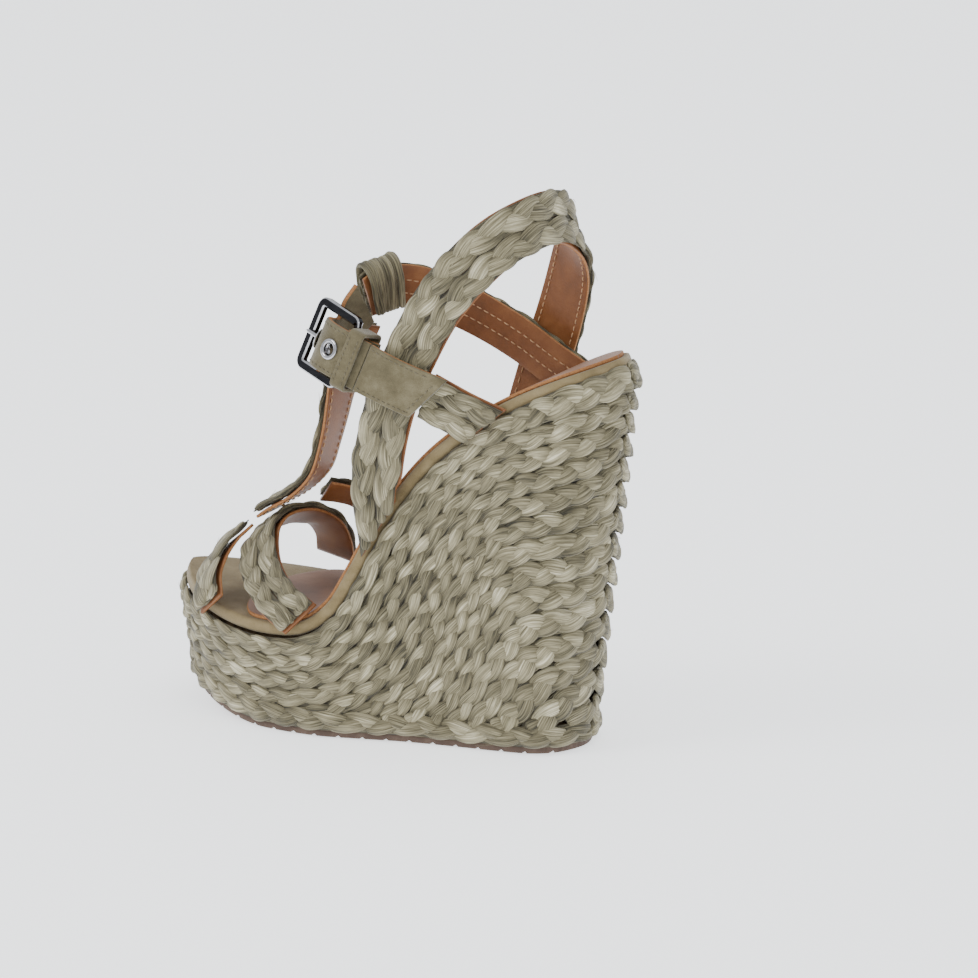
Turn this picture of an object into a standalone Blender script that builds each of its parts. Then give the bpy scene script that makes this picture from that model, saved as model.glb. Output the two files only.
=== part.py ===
"""Left wedge sandal with a braid-wrapped wedge, plaited straps and a buckled ankle strap.

The toe points along -X, the outer (little toe) side of the foot is -Y, and the sole stands on Z = 0.
The origin is under the middle of the shoe. Lengths below are in millimetres and become metres in mm().
"""

import math

import bpy
import bmesh
import numpy as np
from mathutils import Matrix, Vector

# ---------------------------------------------------------------- driving dimensions (millimetres)
MIDDLE_SHIFT = (0.0, 1.786, 0.0)
GAP = 0.35
SOLE_THICKNESS = 2.8
SOLE_INSET = 1.6
TOE_SPRING_START = -40.0
TOE_SPRING_LENGTH = 50.0
TOE_SPRING_RISE = 9.5
FOXING_HEIGHT = 7.0
FOXING_PROUD = 0.9
BRAID_PITCH = 6.6
BRAID_GAP = 0.8
BRAID_DEPTH = 4.0
CORE_INSET = 5.2
FULL_ROWS = 4
SIDE_ROWS = 10
BOARD_INSET = 2.6
BOARD_BOTTOM = 0.45
BOARD_TOP = 5.4
SOCK_THICKNESS = 1.1
SOCK_INSET = 4.6
SOCK_FRONT = -62.0
SHANK_WIDTH = 13.0
SHANK_THICKNESS = 1.4
SHANK_DEPTH = 2.0
SHANK_ENDS = (-6.0, 78.0)
STRAP_WIDTH = 19.0
LINING = 1.2
PLAIT_BASE = 1.7
PLAIT_TOP = 5.0
SUEDE_WIDTH = 19.0
SUEDE_THICKNESS = 2.3
TIP_START = 13.0
BAR_RADIUS = 1.5
FRAME_LENGTH = 25.5
FRAME_WIDTH = 29.2
FRAME_BAR = 3.6
FRAME_DEPTH = 3.0
FRAME_CORNER = 2.2
EYELET_HOLE = 2.4
EYELET_WALL = 0.35
EYELET_FLANGE = 3.9
EYELET_CUT = 3.05
PRONG_RADIUS = 0.8
CHAPE_THICKNESS = 1.2
CHAPE_WIDTH = 18.0
KEEPER_WIDTH = 6.5
KEEPER_THICKNESS = 1.4

# The heel is the first row and the toe tip is the last one. Each row holds the rim's x and its outer and
# inner y, and then the same three values where the wedge meets the sole.
OUTLINE = [
    (98.5, 1.0, 1.0, 80.5, 1.0, 1.0),
    (96.0, -9.0, 11.0, 78.8, -8.0, 10.0),
    (90.0, -19.5, 21.2, 74.2, -16.5, 18.5),
    (80.0, -26.5, 27.8, 66.0, -22.0, 24.0),
    (62.0, -29.4, 30.0, 53.0, -25.0, 26.0),
    (42.0, -29.8, 29.6, 36.0, -27.5, 26.5),
    (20.0, -32.0, 30.5, 17.0, -31.0, 28.0),
    (2.0, -37.0, 34.5, 1.0, -35.5, 32.5),
    (-18.0, -41.3, 40.0, -17.0, -40.0, 38.5),
    (-40.0, -40.6, 42.0, -38.0, -39.8, 41.0),
    (-60.0, -35.6, 39.0, -56.0, -35.4, 38.2),
    (-79.0, -25.0, 29.5, -73.0, -26.0, 29.5),
    (-92.5, -11.5, 16.0, -85.0, -13.0, 17.0),
    (-98.5, 2.0, 2.0, -90.0, 2.0, 2.0),
]
# Height of the rim along the shoe, from the toe to the back of the heel.
RIM_PROFILE = [
    (-100.0, 47.0), (-82.0, 41.6), (-58.0, 37.8), (-38.0, 36.8), (-21.0, 39.5), (-9.0, 48.5),
    (-1.0, 62.0), (8.0, 79.5), (17.0, 94.0), (29.0, 108.6), (44.0, 121.5), (61.0, 132.5),
    (79.0, 141.4), (98.5, 148.6),
]
COLOURS = {
    "raffia": (0.27, 0.24, 0.16, 0.75, 0.0),
    "suede": (0.24, 0.20, 0.13, 0.9, 0.0),
    "leather": (0.34, 0.12, 0.05, 0.5, 0.0),
    "sock": (0.34, 0.19, 0.11, 0.55, 0.0),
    "rubber": (0.09, 0.055, 0.04, 0.6, 0.0),
    "core": (0.30, 0.22, 0.13, 0.9, 0.0),
    "metal": (0.62, 0.62, 0.62, 0.12, 1.0),
}


# ---------------------------------------------------------------- small tools
def mm(point):
    """A millimetre place as a metre vector, moved so that the origin lies under the shoe's middle."""
    return (Vector(point[:3]) + Vector(MIDDLE_SHIFT)) * 0.001


def catmull(points, t, closed=False):
    """The value at t on a smooth curve through rows of numbers; t counts rows."""
    rows = np.asarray(points, float)
    n = len(rows)
    i = int(math.floor(t))
    if not closed:
        i = min(max(i, 0), n - 2)
    f = t - i
    if closed:
        a, b, c, d = (rows[(i + k) % n] for k in (-1, 0, 1, 2))
    else:
        b, c = rows[i], rows[i + 1]
        a = rows[i - 1] if i > 0 else 2 * b - c
        d = rows[i + 2] if i + 2 < n else 2 * c - b
    square = 2 * a - 5 * b + 4 * c - d
    cube = 3 * b - a - 3 * c + d
    return 0.5 * (2 * b + (c - a) * f + square * f * f + cube * f ** 3)


def spread(points, count):
    """Points evenly spaced along the smooth curve through the given rows, ends included."""
    fine = np.array([catmull(points, t) for t in np.linspace(0, len(points) - 1, 30 * len(points))])
    along = np.concatenate([[0], np.cumsum(np.linalg.norm(np.diff(fine[:, :3], axis=0), axis=1))])
    at = np.linspace(0, along[-1], count)
    return np.stack([np.interp(at, along, fine[:, k]) for k in range(fine.shape[1])], axis=1)


def material(name):
    found = bpy.data.materials.get(name)
    if found:
        return found
    red, green, blue, rough, metallic = COLOURS[name]
    made = bpy.data.materials.new(name)
    made.use_nodes = True
    shader = made.node_tree.nodes["Principled BSDF"]
    shader.inputs["Base Color"].default_value = (red, green, blue, 1)
    shader.inputs["Roughness"].default_value = rough
    shader.inputs["Metallic"].default_value = metallic
    return made


def add_object(name, bm, finish, smooth=True):
    """Finish a bmesh as one named object, with its faces turned outwards."""
    bmesh.ops.remove_doubles(bm, verts=bm.verts, dist=0.00001)
    bmesh.ops.recalc_face_normals(bm, faces=bm.faces)
    mesh = bpy.data.meshes.new(name)
    bm.to_mesh(mesh)
    bm.free()
    if smooth:
        mesh.shade_smooth()
        mesh.set_sharp_from_angle(angle=math.radians(40))
    obj = bpy.data.objects.new(name, mesh)
    obj.data.materials.append(material(finish))
    bpy.context.scene.collection.objects.link(obj)
    return obj


def loft(name, rings, finish, closed=False):
    """A solid through rings of points in metres, capped at both ends unless it closes on itself.

    The faces are split so that a strip's inner and outer sides bend along the same lines.
    """
    bm = bmesh.new()
    rows = [[bm.verts.new(p) for p in ring] for ring in rings]
    count = len(rows[0])
    pairs = list(zip(rows, rows[1:]))
    if closed:
        pairs.append((rows[-1], rows[0]))
    for first, second in pairs:
        for k in range(count):
            low, high = (k, (k + 1) % count)
            corners = (first[low], first[high], second[high], second[low])
            turned = corners[1:] + corners[:1] if k >= count // 2 else corners
            bm.faces.new(turned[:3])
            bm.faces.new((turned[0], turned[2], turned[3]))
    if not closed:
        bm.faces.new(rows[0])
        bm.faces.new(list(reversed(rows[-1])))
    return add_object(name, bm, finish)


def cut(obj, cutter):
    """Subtract a guide solid, which stays in the file but is left out of the model."""
    cutter.hide_render = True
    cutter.display_type = "WIRE"
    modifier = obj.modifiers.new("cut", "BOOLEAN")
    modifier.operation = "DIFFERENCE"
    modifier.object = cutter
    modifier.solver = "EXACT"


def set_pivot(obj, pivot):
    """Move an object's origin to a joint axis without moving its surface."""
    obj.data.transform(Matrix.Translation(-pivot))
    obj.location = pivot


# ---------------------------------------------------------------- the wedge's outline and side surface
def outline_loop(columns):
    outer = [(row[columns[0]], row[columns[1]]) for row in OUTLINE]
    inner = [(row[columns[0]], row[columns[2]]) for row in OUTLINE[-2:0:-1]]
    return outer + inner


RIM_LOOP = outline_loop((0, 1, 2))
SOLE_LOOP = outline_loop((3, 4, 5))
TURNS = len(RIM_LOOP)
TOE = len(OUTLINE) - 1
PROFILE_FINE = np.array([catmull(RIM_PROFILE, t) for t in np.linspace(0, len(RIM_PROFILE) - 1, 400)])


def rim_height(x):
    return float(np.interp(x, PROFILE_FINE[:, 0], PROFILE_FINE[:, 1]))


def ground(x):
    """Height of the sole's underside, which lifts towards the toe."""
    ahead = max(0.0, (TOE_SPRING_START - x) / TOE_SPRING_LENGTH)
    return TOE_SPRING_RISE * ahead ** 1.5


def inward(loop, u):
    """Unit vector pointing into the outline at u."""
    step = 0.02
    ahead = catmull(loop, u + step, closed=True)
    behind = catmull(loop, u - step, closed=True)
    along = ahead - behind
    along /= np.linalg.norm(along)
    return np.array([-along[1], along[0]])


def loop_sign():
    """+1 if inward() points at the outline's middle at the heel, -1 if it points away."""
    return 1.0 if inward(RIM_LOOP, 0.0)[0] < 0 else -1.0


TURN_SIGN = loop_sign()
END_SLANT = 14
SEAM_REACH = 34.0
SEAM_GATHER = 45.0
SEAM_SPREAD = 0.44
SEAM_SPREAD_REACH = 58.0


def rim_point(u, inset):
    return catmull(RIM_LOOP, u, closed=True) + inset * TURN_SIGN * inward(RIM_LOOP, u)


def sole_point(u, inset):
    return catmull(SOLE_LOOP, u, closed=True) + inset * TURN_SIGN * inward(SOLE_LOOP, u)


def side_point(u, z, depth):
    """A point of the wedge's side at height z, depth below its outer surface."""
    top = catmull(RIM_LOOP, u, closed=True)
    bottom = catmull(SOLE_LOOP, u, closed=True)
    low, high = ground(bottom[0]), rim_height(top[0])
    share = (z - low) / (high - low)
    place = bottom + (top - bottom) * share
    turn = inward(SOLE_LOOP, u) * (1 - share) + inward(RIM_LOOP, u) * share
    turn /= np.linalg.norm(turn)
    under = place + depth * TURN_SIGN * turn
    settle = (rim_height(under[0]) - rim_height(place[0])) * share
    return mm((under[0], under[1], z + settle))


def rim_normal(x):
    """Unit (x, z) vector square to the rim's profile, pointing up and forward."""
    slope = (rim_height(x + 0.5) - rim_height(x - 0.5)) / 1.0
    length = math.hypot(1.0, slope)
    return -slope / length, 1.0 / length


def over_rim(u, inset, lift):
    """A point a given distance square to the rim's profile."""
    x, y = rim_point(u, inset)
    nx, nz = rim_normal(x)
    return mm((x + lift * nx, y, rim_height(x) + lift * nz))


def sections():
    """Stations from the heel to the toe, closer together where the outline turns."""
    heel = [0.12, 0.35, 0.65, 1.0, 1.4, 1.8, 2.2, 2.6, 3.0, 3.5]
    toe = [12.0, 12.35, 12.65, 12.88]
    return heel + [4.0 + 0.4 * k for k in range(20)] + toe


def rim_slab(name, inset, low, high, finish, stations, narrow=None):
    """A board that follows the rim's profile between two lifts, given as functions of x."""
    rings = []
    for v in stations:
        share = narrow(v) if narrow else 1.0
        ring = []
        for u, lift in ((v, low), (TURNS - v, low), (TURNS - v, high), (v, high)):
            near = over_rim(u, inset, lift)
            far = over_rim(TURNS - u, inset, lift)
            middle = (near + far) / 2
            ring.append(middle + (near - middle) * share)
        rings.append(ring)
    return loft(name, rings, finish)


# ---------------------------------------------------------------- wedge, sole and footbed
def make_outsole():
    rings = []
    for v in sections():
        ring = []
        for u, lift in ((v, 0.0), (TURNS - v, 0.0), (TURNS - v, SOLE_THICKNESS), (v, SOLE_THICKNESS)):
            x, y = sole_point(u, SOLE_INSET)
            ring.append(mm((x, y, ground(x) + lift)))
        rings.append(ring)
    return loft("outsole", rings, "rubber")


def make_core():
    rings = []
    for v in sections():
        ring = []
        for u in (v, TURNS - v):
            x, y = sole_point(u, CORE_INSET)
            ring.append(mm((x, y, ground(x) + SOLE_THICKNESS + GAP)))
        ring.append(over_rim(TURNS - v, CORE_INSET, 0.0))
        ring.append(over_rim(v, CORE_INSET, 0.0))
        rings.append(ring)
    core = loft("wedge_core", rings, "core")
    groove = shank_strip("shank_groove", SHANK_WIDTH + 1.0, -SHANK_DEPTH - SHANK_THICKNESS, 1.5, 1.0)
    cut(core, groove)
    return core


def shank_strip(name, width, low, high, longer):
    rings = []
    start, end = SHANK_ENDS[0] - longer, SHANK_ENDS[1] + longer
    for x in np.linspace(start, end, 15):
        nx, nz = rim_normal(x)
        z = rim_height(x)
        ring = []
        for y, lift in ((-width / 2, low), (width / 2, low), (width / 2, high), (-width / 2, high)):
            ring.append(mm((x + lift * nx, y, z + lift * nz)))
        rings.append(ring)
    return loft(name, rings, "metal")


def make_shank():
    low = -SHANK_DEPTH - SHANK_THICKNESS + 0.4
    return shank_strip("steel_shank", SHANK_WIDTH, low, low + SHANK_THICKNESS, 0.0)


def make_footbed():
    rim_slab("footbed_board", BOARD_INSET, BOARD_BOTTOM, BOARD_TOP, "suede", sections())
    front = next(v for v in np.linspace(8, 13, 400) if rim_point(v, 0)[0] < SOCK_FRONT)
    stations = [v for v in sections() if v < front - 0.9]
    stations += [front - 0.9, front - 0.55, front - 0.25, front - 0.08, front]

    def rounded(v):
        ahead = max(0.0, 1 - (front - v) / 0.9)
        return math.sqrt(max(0.0, 1 - ahead ** 2.2)) * 0.97 + 0.03

    low = BOARD_TOP + GAP
    rim_slab("insole_sock", SOCK_INSET, low, low + SOCK_THICKNESS, "sock", stations, rounded)


# ---------------------------------------------------------------- braid rows wound round the wedge
def unrolled():
    """For fine steps of u: length along the side, rim height, foxing top and the rise to the seam's peak."""
    us = np.linspace(0, TURNS, 1300)
    middle = np.array([(catmull(RIM_LOOP, u, True) + catmull(SOLE_LOOP, u, True)) / 2 for u in us])
    along = np.concatenate([[0], np.cumsum(np.linalg.norm(np.diff(middle, axis=0), axis=1))])
    rim = np.array([rim_height(catmull(RIM_LOOP, u, True)[0]) for u in us])
    foot = np.array([ground(catmull(SOLE_LOOP, u, True)[0]) for u in us])
    lift = np.maximum(seam_rise(along, along, rim), seam_rise(along[-1] - along, along, rim))
    return us, along, rim, foot + SOLE_THICKNESS + FOXING_HEIGHT + 2 * GAP, lift


def seam_rise(away, along, rim):
    """How far the rim's slope, carried on straight to the seam, rises above the rim on one side."""
    order = np.argsort(away)
    far, near = np.interp((SEAM_REACH + 4, SEAM_REACH - 4), away[order], rim[order])
    start = np.interp(SEAM_REACH, away[order], rim[order])
    peak = start + (far - near) / 8 * (away - SEAM_REACH)
    return np.where(away < SEAM_REACH, np.maximum(0.0, peak - rim), 0.0)


def row_edge(base, distance):
    """Points of an offset of the rim; near the back seam it rises to a peak and the rows spread apart."""
    us, along, rim, _, lift = base
    top = rim + lift * min(1.0, distance / SEAM_GATHER)
    run, rise = np.gradient(along), np.gradient(top)
    size = np.hypot(run, rise)
    place, height = along + distance * rise / size, top - distance * run / size
    back = np.minimum(place, along[-1] - place)
    share = np.clip(1 - back / SEAM_SPREAD_REACH, 0.0, 1.0)
    share = share * share * (3 - 2 * share)
    under = np.interp(place, along, rim) - height
    return us, place, height - under * SEAM_SPREAD * share


def longest_run(flags):
    """First and last index of the longest unbroken run of true flags."""
    inside = np.flatnonzero(flags)
    pieces = np.split(inside, np.flatnonzero(np.diff(inside) > 1) + 1)
    longest = max(pieces, key=len)
    return int(longest[0]), int(longest[-1])


def row_runs(base, distances_out, half):
    """Where each edge of a row lies on the wedge's side: half 0 is the outer side, 1 the inner side."""
    us, along, _, foot, _ = base
    toe = len(us) // 2
    runs = []
    for distance in distances_out:
        _, q, z = row_edge(base, distance)
        flags = (np.gradient(q) > 0) & (q > 0.4) & (q < along[-1] - 0.4)
        if half is not None:
            flags &= z > np.interp(q, along, foot)
            flags[toe * (1 - half):toe * (2 - half)] = False
        runs.append(longest_run(flags))
    (near_first, near_last), (far_first, far_last) = runs
    near_first = max(near_first, far_first - END_SLANT)
    near_last = min(near_last, far_last + END_SLANT)
    return [(near_first, near_last), (far_first, far_last)]


def braid_row(name, base, distances_out, runs, spacing):
    us, along, _, foot, _ = base
    edges = [row_edge(base, distance) for distance in distances_out]
    reach = along[runs[0][1]] - along[runs[0][0]]
    count = max(4, int(reach / spacing))
    rings = []
    for t in np.linspace(0, 1, count):
        places = []
        for (_, q, z), (first, last) in zip(edges, runs):
            index = first + (last - first) * t
            place = float(np.interp(index, range(len(q)), q))
            height = float(np.interp(index, range(len(z)), z))
            height = max(height, float(np.interp(place, along, foot)))
            places.append((float(np.interp(place, along, us)), height))
        (u1, z1), (u2, z2) = places
        rings.append([
            side_point(u1, z1, BRAID_DEPTH), side_point(u2, z2, BRAID_DEPTH),
            side_point(u2, z2, 0.0), side_point(u1, z1, 0.0),
        ])
    return loft(name, rings, "raffia")


def make_wrap():
    base = unrolled()
    half_width = (BRAID_PITCH - BRAID_GAP) / 2
    for k in range(FULL_ROWS + SIDE_ROWS):
        middle = BRAID_PITCH * (k + 0.5) + 0.1
        edges = (middle - half_width, middle + half_width)
        sides = [("", None)] if k < FULL_ROWS else [("_outer", 0), ("_inner", 1)]
        for suffix, half in sides:
            runs = row_runs(base, edges, half)
            spacing = 5.8 if half is None else 4.8
            braid_row(f"wrap_row_{k + 1:02d}{suffix}", base, edges, runs, spacing)


def make_foxing():
    rings = []
    for u in np.linspace(0, TURNS, 58, endpoint=False):
        bottom = catmull(SOLE_LOOP, u, closed=True)
        low = ground(bottom[0]) + SOLE_THICKNESS + GAP
        high = low + FOXING_HEIGHT
        rings.append([
            side_point(u, low, BRAID_DEPTH), side_point(u, high, BRAID_DEPTH),
            side_point(u, high, -FOXING_PROUD), side_point(u, low, -FOXING_PROUD),
        ])
    return loft("foxing_braid", rings, "raffia", closed=True)


# ---------------------------------------------------------------- straps
def strap_frames(path, count):
    """Evenly spaced (place, along, across, outward) frames, in millimetres."""
    rows = spread(path, count)
    frames = []
    for i, row in enumerate(rows):
        before, after = rows[max(i - 1, 0)], rows[min(i + 1, len(rows) - 1)]
        along = Vector(after[:3] - before[:3]).normalized()
        outward = Vector(row[3:6])
        outward = (outward - along * outward.dot(along)).normalized()
        frames.append((Vector(row[:3]), along, outward.cross(along), outward))
    return frames


def slants(frames, shear, reach):
    """How far each frame leans along the strap, fading from the slanted ends towards its middle."""
    total = distances(frames)
    leans = []
    for run in total:
        from_start = max(0.0, 1 - run / max(0.1, 1.3 * reach * abs(shear[0])))
        from_end = max(0.0, 1 - (total[-1] - run) / max(0.1, 1.3 * reach * abs(shear[1])))
        leans.append(shear[0] * from_start + shear[1] * from_end)
    return leans


def strip(name, frames, across, layer, finish, shear=(0.0, 0.0), plaited=False, widths=None):
    """Sweep a strip of a strap along its frames; across and layer are (from, to) in millimetres."""
    rings = []
    leans = slants(frames, shear, max(abs(across[0]), abs(across[1])))
    for i, (place, along, side, outward) in enumerate(frames):
        slant = leans[i]
        scale = widths(i / (len(frames) - 1)) if widths else 1.0
        a, b = across[0] * scale, across[1] * scale
        low, high = layer
        if plaited:
            edge, step = (high - low) * 0.55 + low, (b - a) * 0.25
            corners = [(a, low), (b, low), (b, edge), (b - step, high), (a + step, high), (a, edge)]
        else:
            corners = [(a, low), (b, low), (b, high), (a, high)]
        rings.append([mm(place + side * w + outward * t + along * (w * slant)) for w, t in corners])
    return loft(name, rings, finish)


def plaited_strap(name, path, count, width=STRAP_WIDTH, shear=(0.0, 0.0), widths=None, plaits=2):
    """One raffia plait, or two side by side, on a leather lining."""
    frames = strap_frames(path, count)
    half = width / 2
    strip(f"{name}_lining", frames, (-half, half), (0.0, LINING), "leather", shear, widths=widths)
    layer = (PLAIT_BASE, PLAIT_TOP)
    if plaits == 1:
        strip(f"{name}_plait", frames, (-half, half), layer, "raffia", shear, True, widths)
        return
    strip(f"{name}_plait_a", frames, (GAP / 2, half), layer, "raffia", shear, True, widths)
    strip(f"{name}_plait_b", frames, (-half, -GAP / 2), layer, "raffia", shear, True, widths)


def distances(frames):
    """Length along the frames up to each one, in millimetres."""
    total = [0.0]
    for first, second in zip(frames, frames[1:]):
        total.append(total[-1] + (second[0] - first[0]).length)
    return total


BACK_LOOP = [
    (9.0, -33.8, 84.0, 0.24, -0.97, 0.0),
    (8.0, -33.4, 100.0, 0.1, -1, 0.0),
    (10.0, -31.8, 118.0, 0.0, -1, 0.1),
    (15.0, -30.8, 137.0, 0.0, -1, 0.1),
    (22.5, -29.8, 154.0, 0.0, -1, 0.1),
    (31.5, -28.6, 171.0, 0.05, -1, 0.1),
    (42.0, -26.5, 185.0, 0.2, -1, 0.12),
    (52.0, -21.0, 196.0, 0.55, -0.8, 0.15),
    (60.0, -12.0, 202.0, 0.85, -0.45, 0.2),
    (63.5, 0.0, 203.0, 1, 0.0, 0.25),
    (63.0, 12.0, 199.0, 0.9, 0.4, 0.2),
    (60.0, 23.0, 189.5, 0.6, 0.8, 0.12),
    (55.5, 30.5, 175.5, 0.25, 1, 0.08),
    (50.0, 34.8, 160.0, 0.1, 1, 0.05),
    (45.0, 35.6, 145.0, 0.0, 1, 0.0),
    (40.0, 34.0, 130.0, 0.0, 1, 0.0),
    (36.0, 31.5, 117.5, 0.0, 1, 0.0),
]
ANKLE_OUTER = [
    (28.2, -29.9, 137.4, 0.0, -1, 0.05),
    (36.0, -29.2, 134.2, 0.0, -1, 0.0),
    (44.0, -28.8, 131.0, 0.0, -1, 0.0),
    (52.3, -28.6, 128.3, 0.0, -1, 0.0),
]
ANKLE_FRONT = [
    (60.0, 28.6, 133.6, 0.0, 1, 0.0),
    (48.0, 29.3, 139.5, 0.0, 1, 0.0),
    (36.0, 29.0, 146.5, -0.05, 1, 0.0),
    (24.0, 26.5, 153.3, -0.15, 1, 0.0),
    (13.0, 21.0, 160.0, -0.5, 0.85, 0.05),
    (4.5, 13.5, 165.5, -0.7, 0.7, 0.1),
    (-1.5, 5.0, 168.6, -0.8, 0.6, 0.15),
    (-6.3, -2.5, 168.6, -0.87, 0.48, 0.15),
    (-9.2, -8.4, 166.0, -0.89, 0.42, 0.18),
]
T_STRAP = [
    (-59.0, 1.0, 73.5, -0.6, 0.0, 0.8),
    (-54.2, 0.6, 77.1, -0.6, 0.0, 0.8),
    (-46.4, 0.2, 81.8, -0.65, 0.0, 0.72),
    (-39.6, 0.0, 87.4, -0.8, 0.0, 0.55),
    (-34.5, 0.0, 94.0, -0.92, 0.0, 0.4),
    (-31.0, 0.0, 104.0, -0.95, 0.0, 0.3),
    (-28.3, 0.0, 114.0, -0.97, 0.05, 0.2),
    (-26.0, 0.2, 125.0, -0.95, 0.15, 0.2),
    (-22.5, 0.4, 139.0, -0.9, 0.35, 0.2),
    (-17.5, 0.5, 152.5, -0.82, 0.55, 0.25),
]
VAMP_REAR = [
    (-21.5, -40.2, 45.8, -0.25, -0.75, 0.6),
    (-35.0, -34.5, 50.5, -0.2, -0.6, 0.75),
    (-47.0, -24.5, 57.0, -0.3, -0.45, 0.85),
    (-54.0, -12.5, 64.0, -0.45, -0.2, 0.85),
    (-54.0, -1.0, 69.5, -0.6, 0.0, 0.8),
    (-49.5, 9.0, 71.0, -0.4, 0.35, 0.85),
    (-45.5, 18.5, 67.0, -0.1, 0.65, 0.7),
    (-46.5, 28.0, 58.5, 0.0, 0.85, 0.4),
    (-50.0, 36.0, 48.8, -0.05, 0.95, 0.3),
]
VAMP_FRONT_OUTER = [
    (-63.5, -34.8, 44.8, -0.55, -0.7, 0.45),
    (-68.0, -28.0, 51.5, -0.6, -0.45, 0.65),
    (-69.2, -20.0, 57.5, -0.6, -0.25, 0.75),
    (-68.2, -12.0, 62.5, -0.6, -0.1, 0.8),
    (-65.2, -4.5, 66.8, -0.6, 0.0, 0.8),
]
LOOP_CENTRE = Vector((-6.0, -2.3, 168.5))
# The loop's section, measured outwards from the ankle strap's inner face and upwards from its middle.
LOOP_ROUTE = [
    (6.9, -13.0), (6.9, -4.0), (6.9, 5.0), (6.0, 9.4), (2.8, 11.2), (-1.2, 9.6), (-3.1, 5.0), (-3.3, -2.0),
    (-3.3, -8.5),
]
VAMP_REAR_INNER = [
    (-39.6, 10.9, 81.6, -0.55, 0.4, 0.7),
    (-34.9, 15.8, 80.0, -0.3, 0.65, 0.7),
    (-30.0, 21.0, 77.2, -0.15, 0.75, 0.6),
    (-23.6, 29.2, 69.5, -0.05, 0.9, 0.4),
    (-16.5, 35.46, 59.5, 0.0, 0.95, 0.25),
    (-11.0, 38.07, 53.0, 0.0, 1, 0.1),
]


def narrow_ends(least, share):
    """A strap that narrows over the given share of its length towards both ends."""
    return lambda t: least + (1 - least) * min(1.0, t / share, (1 - t) / share)


def make_straps():
    plaited_strap("back_loop", BACK_LOOP, 72, width=20.0, shear=(-1.5, 1.9), widths=narrow_ends(0.7, 0.09))
    plaited_strap("ankle_outer", ANKLE_OUTER, 9, width=18.0, shear=(0.0, 0.65))
    plaited_strap("ankle_front", ANKLE_FRONT, 26, width=17.0, shear=(-0.75, 0.0))
    plaited_strap("t_strap", T_STRAP, 23, width=17.0)
    plaited_strap("vamp_rear", VAMP_REAR, 36, width=16.0, shear=(0.2, 0.0))
    plaited_strap("vamp_front", VAMP_FRONT_OUTER, 8, width=14.0, plaits=1)
    plaited_strap("vamp_inner", VAMP_REAR_INNER, 10, width=13.0, plaits=1)


def make_t_loop():
    """The folded end of the T-strap, which goes over the ankle strap and down behind it."""
    frames = strap_frames(ANKLE_FRONT, 40)
    centre, across, up, outward = min(frames, key=lambda f: (f[0] - LOOP_CENTRE).length)
    turned = []
    rows = spread([(a, b, 0.0) for a, b in LOOP_ROUTE], 17)
    for i, row in enumerate(rows):
        before, after = rows[max(i - 1, 0)], rows[min(i + 1, len(rows) - 1)]
        step = after - before
        along = (outward * step[0] + up * step[1]).normalized()
        turned.append((centre + outward * row[0] + up * row[1], along, across, along.cross(across)))
    strip("t_strap_loop", turned, (-6.5, 6.5), (-1.1, 1.1), "raffia")


# ---------------------------------------------------------------- buckle and suede strap end
BAR_CENTRE = Vector((-5.5, -32.0, 149.5))
FORWARD = Vector((-0.89, 0.40, 0.21)).normalized()
UPWARD = Vector((0.30, 0.21, 0.93))
UPWARD = (UPWARD - FORWARD * UPWARD.dot(FORWARD)).normalized()
OUTWARD = UPWARD.cross(FORWARD)
KEEPER_ALONG = Vector((-0.953, 0.0, -0.302)).normalized()
KEEPER_OUT = Vector((-0.302, 0.0, 0.953)).normalized()


def at_buckle(forward, upward, outward):
    """A place in the buckle's own directions, measured from the middle of its rear bar."""
    return BAR_CENTRE + FORWARD * forward + UPWARD * upward + OUTWARD * outward


def buckle_row(place, facing):
    """A path row from a place and a facing (forward, outward), both in the buckle's directions."""
    return (*at_buckle(*place), *(FORWARD * facing[0] + OUTWARD * facing[1]))


def tube(name, points, radius, sides, finish):
    """A round bar along points in millimetres."""
    rings = []
    for i, point in enumerate(points):
        before, after = points[max(i - 1, 0)], points[min(i + 1, len(points) - 1)]
        along = (after - before).normalized()
        first = along.cross(UPWARD if abs(along.dot(UPWARD)) < 0.7 else OUTWARD).normalized()
        second = along.cross(first)
        ring = []
        for k in range(sides):
            angle = 2 * math.pi * k / sides
            ring.append(mm(point + (first * math.cos(angle) + second * math.sin(angle)) * radius))
        rings.append(ring)
    return loft(name, rings, finish)


def make_buckle_frame():
    """A rectangular ring with clipped corners; it turns on its round rear bar."""
    half = (FRAME_WIDTH - FRAME_BAR) / 2
    front = FRAME_LENGTH - BAR_RADIUS - FRAME_BAR / 2
    clip = FRAME_CORNER
    corners = [
        (0.0, -half + clip), (clip, -half), (front - clip, -half), (front, -half + clip),
        (front, half - clip), (front - clip, half), (clip, half), (0.0, half - clip),
    ]
    count = len(corners)
    rings = []
    for i, (forward, upward) in enumerate(corners):
        here = Vector((forward, upward))
        come = (here - Vector(corners[i - 1])).normalized()
        go = (Vector(corners[(i + 1) % count]) - here).normalized()
        edge = Vector((-(come + go).y, (come + go).x)).normalized()
        stretch = 1.0 / max(0.3, edge.dot(Vector((-go.y, go.x))))
        width = BAR_RADIUS if i in (0, count - 1) else FRAME_BAR / 2
        ring = []
        for k in range(12):
            angle = 2 * math.pi * (k + 0.5) / 12
            square = 1.0
            if i not in (0, count - 1):
                square = 1.0 / max(abs(math.cos(angle)), abs(math.sin(angle)), 0.85)
            reach = edge * (math.cos(angle) * width * stretch * square)
            rise = math.sin(angle) * FRAME_DEPTH / 2 * square
            ring.append(mm(at_buckle(forward + reach.x, upward + reach.y, rise)))
        rings.append(ring)
    frame = loft("buckle_frame", rings, "metal", closed=True)
    set_pivot(frame, mm(BAR_CENTRE))


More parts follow.
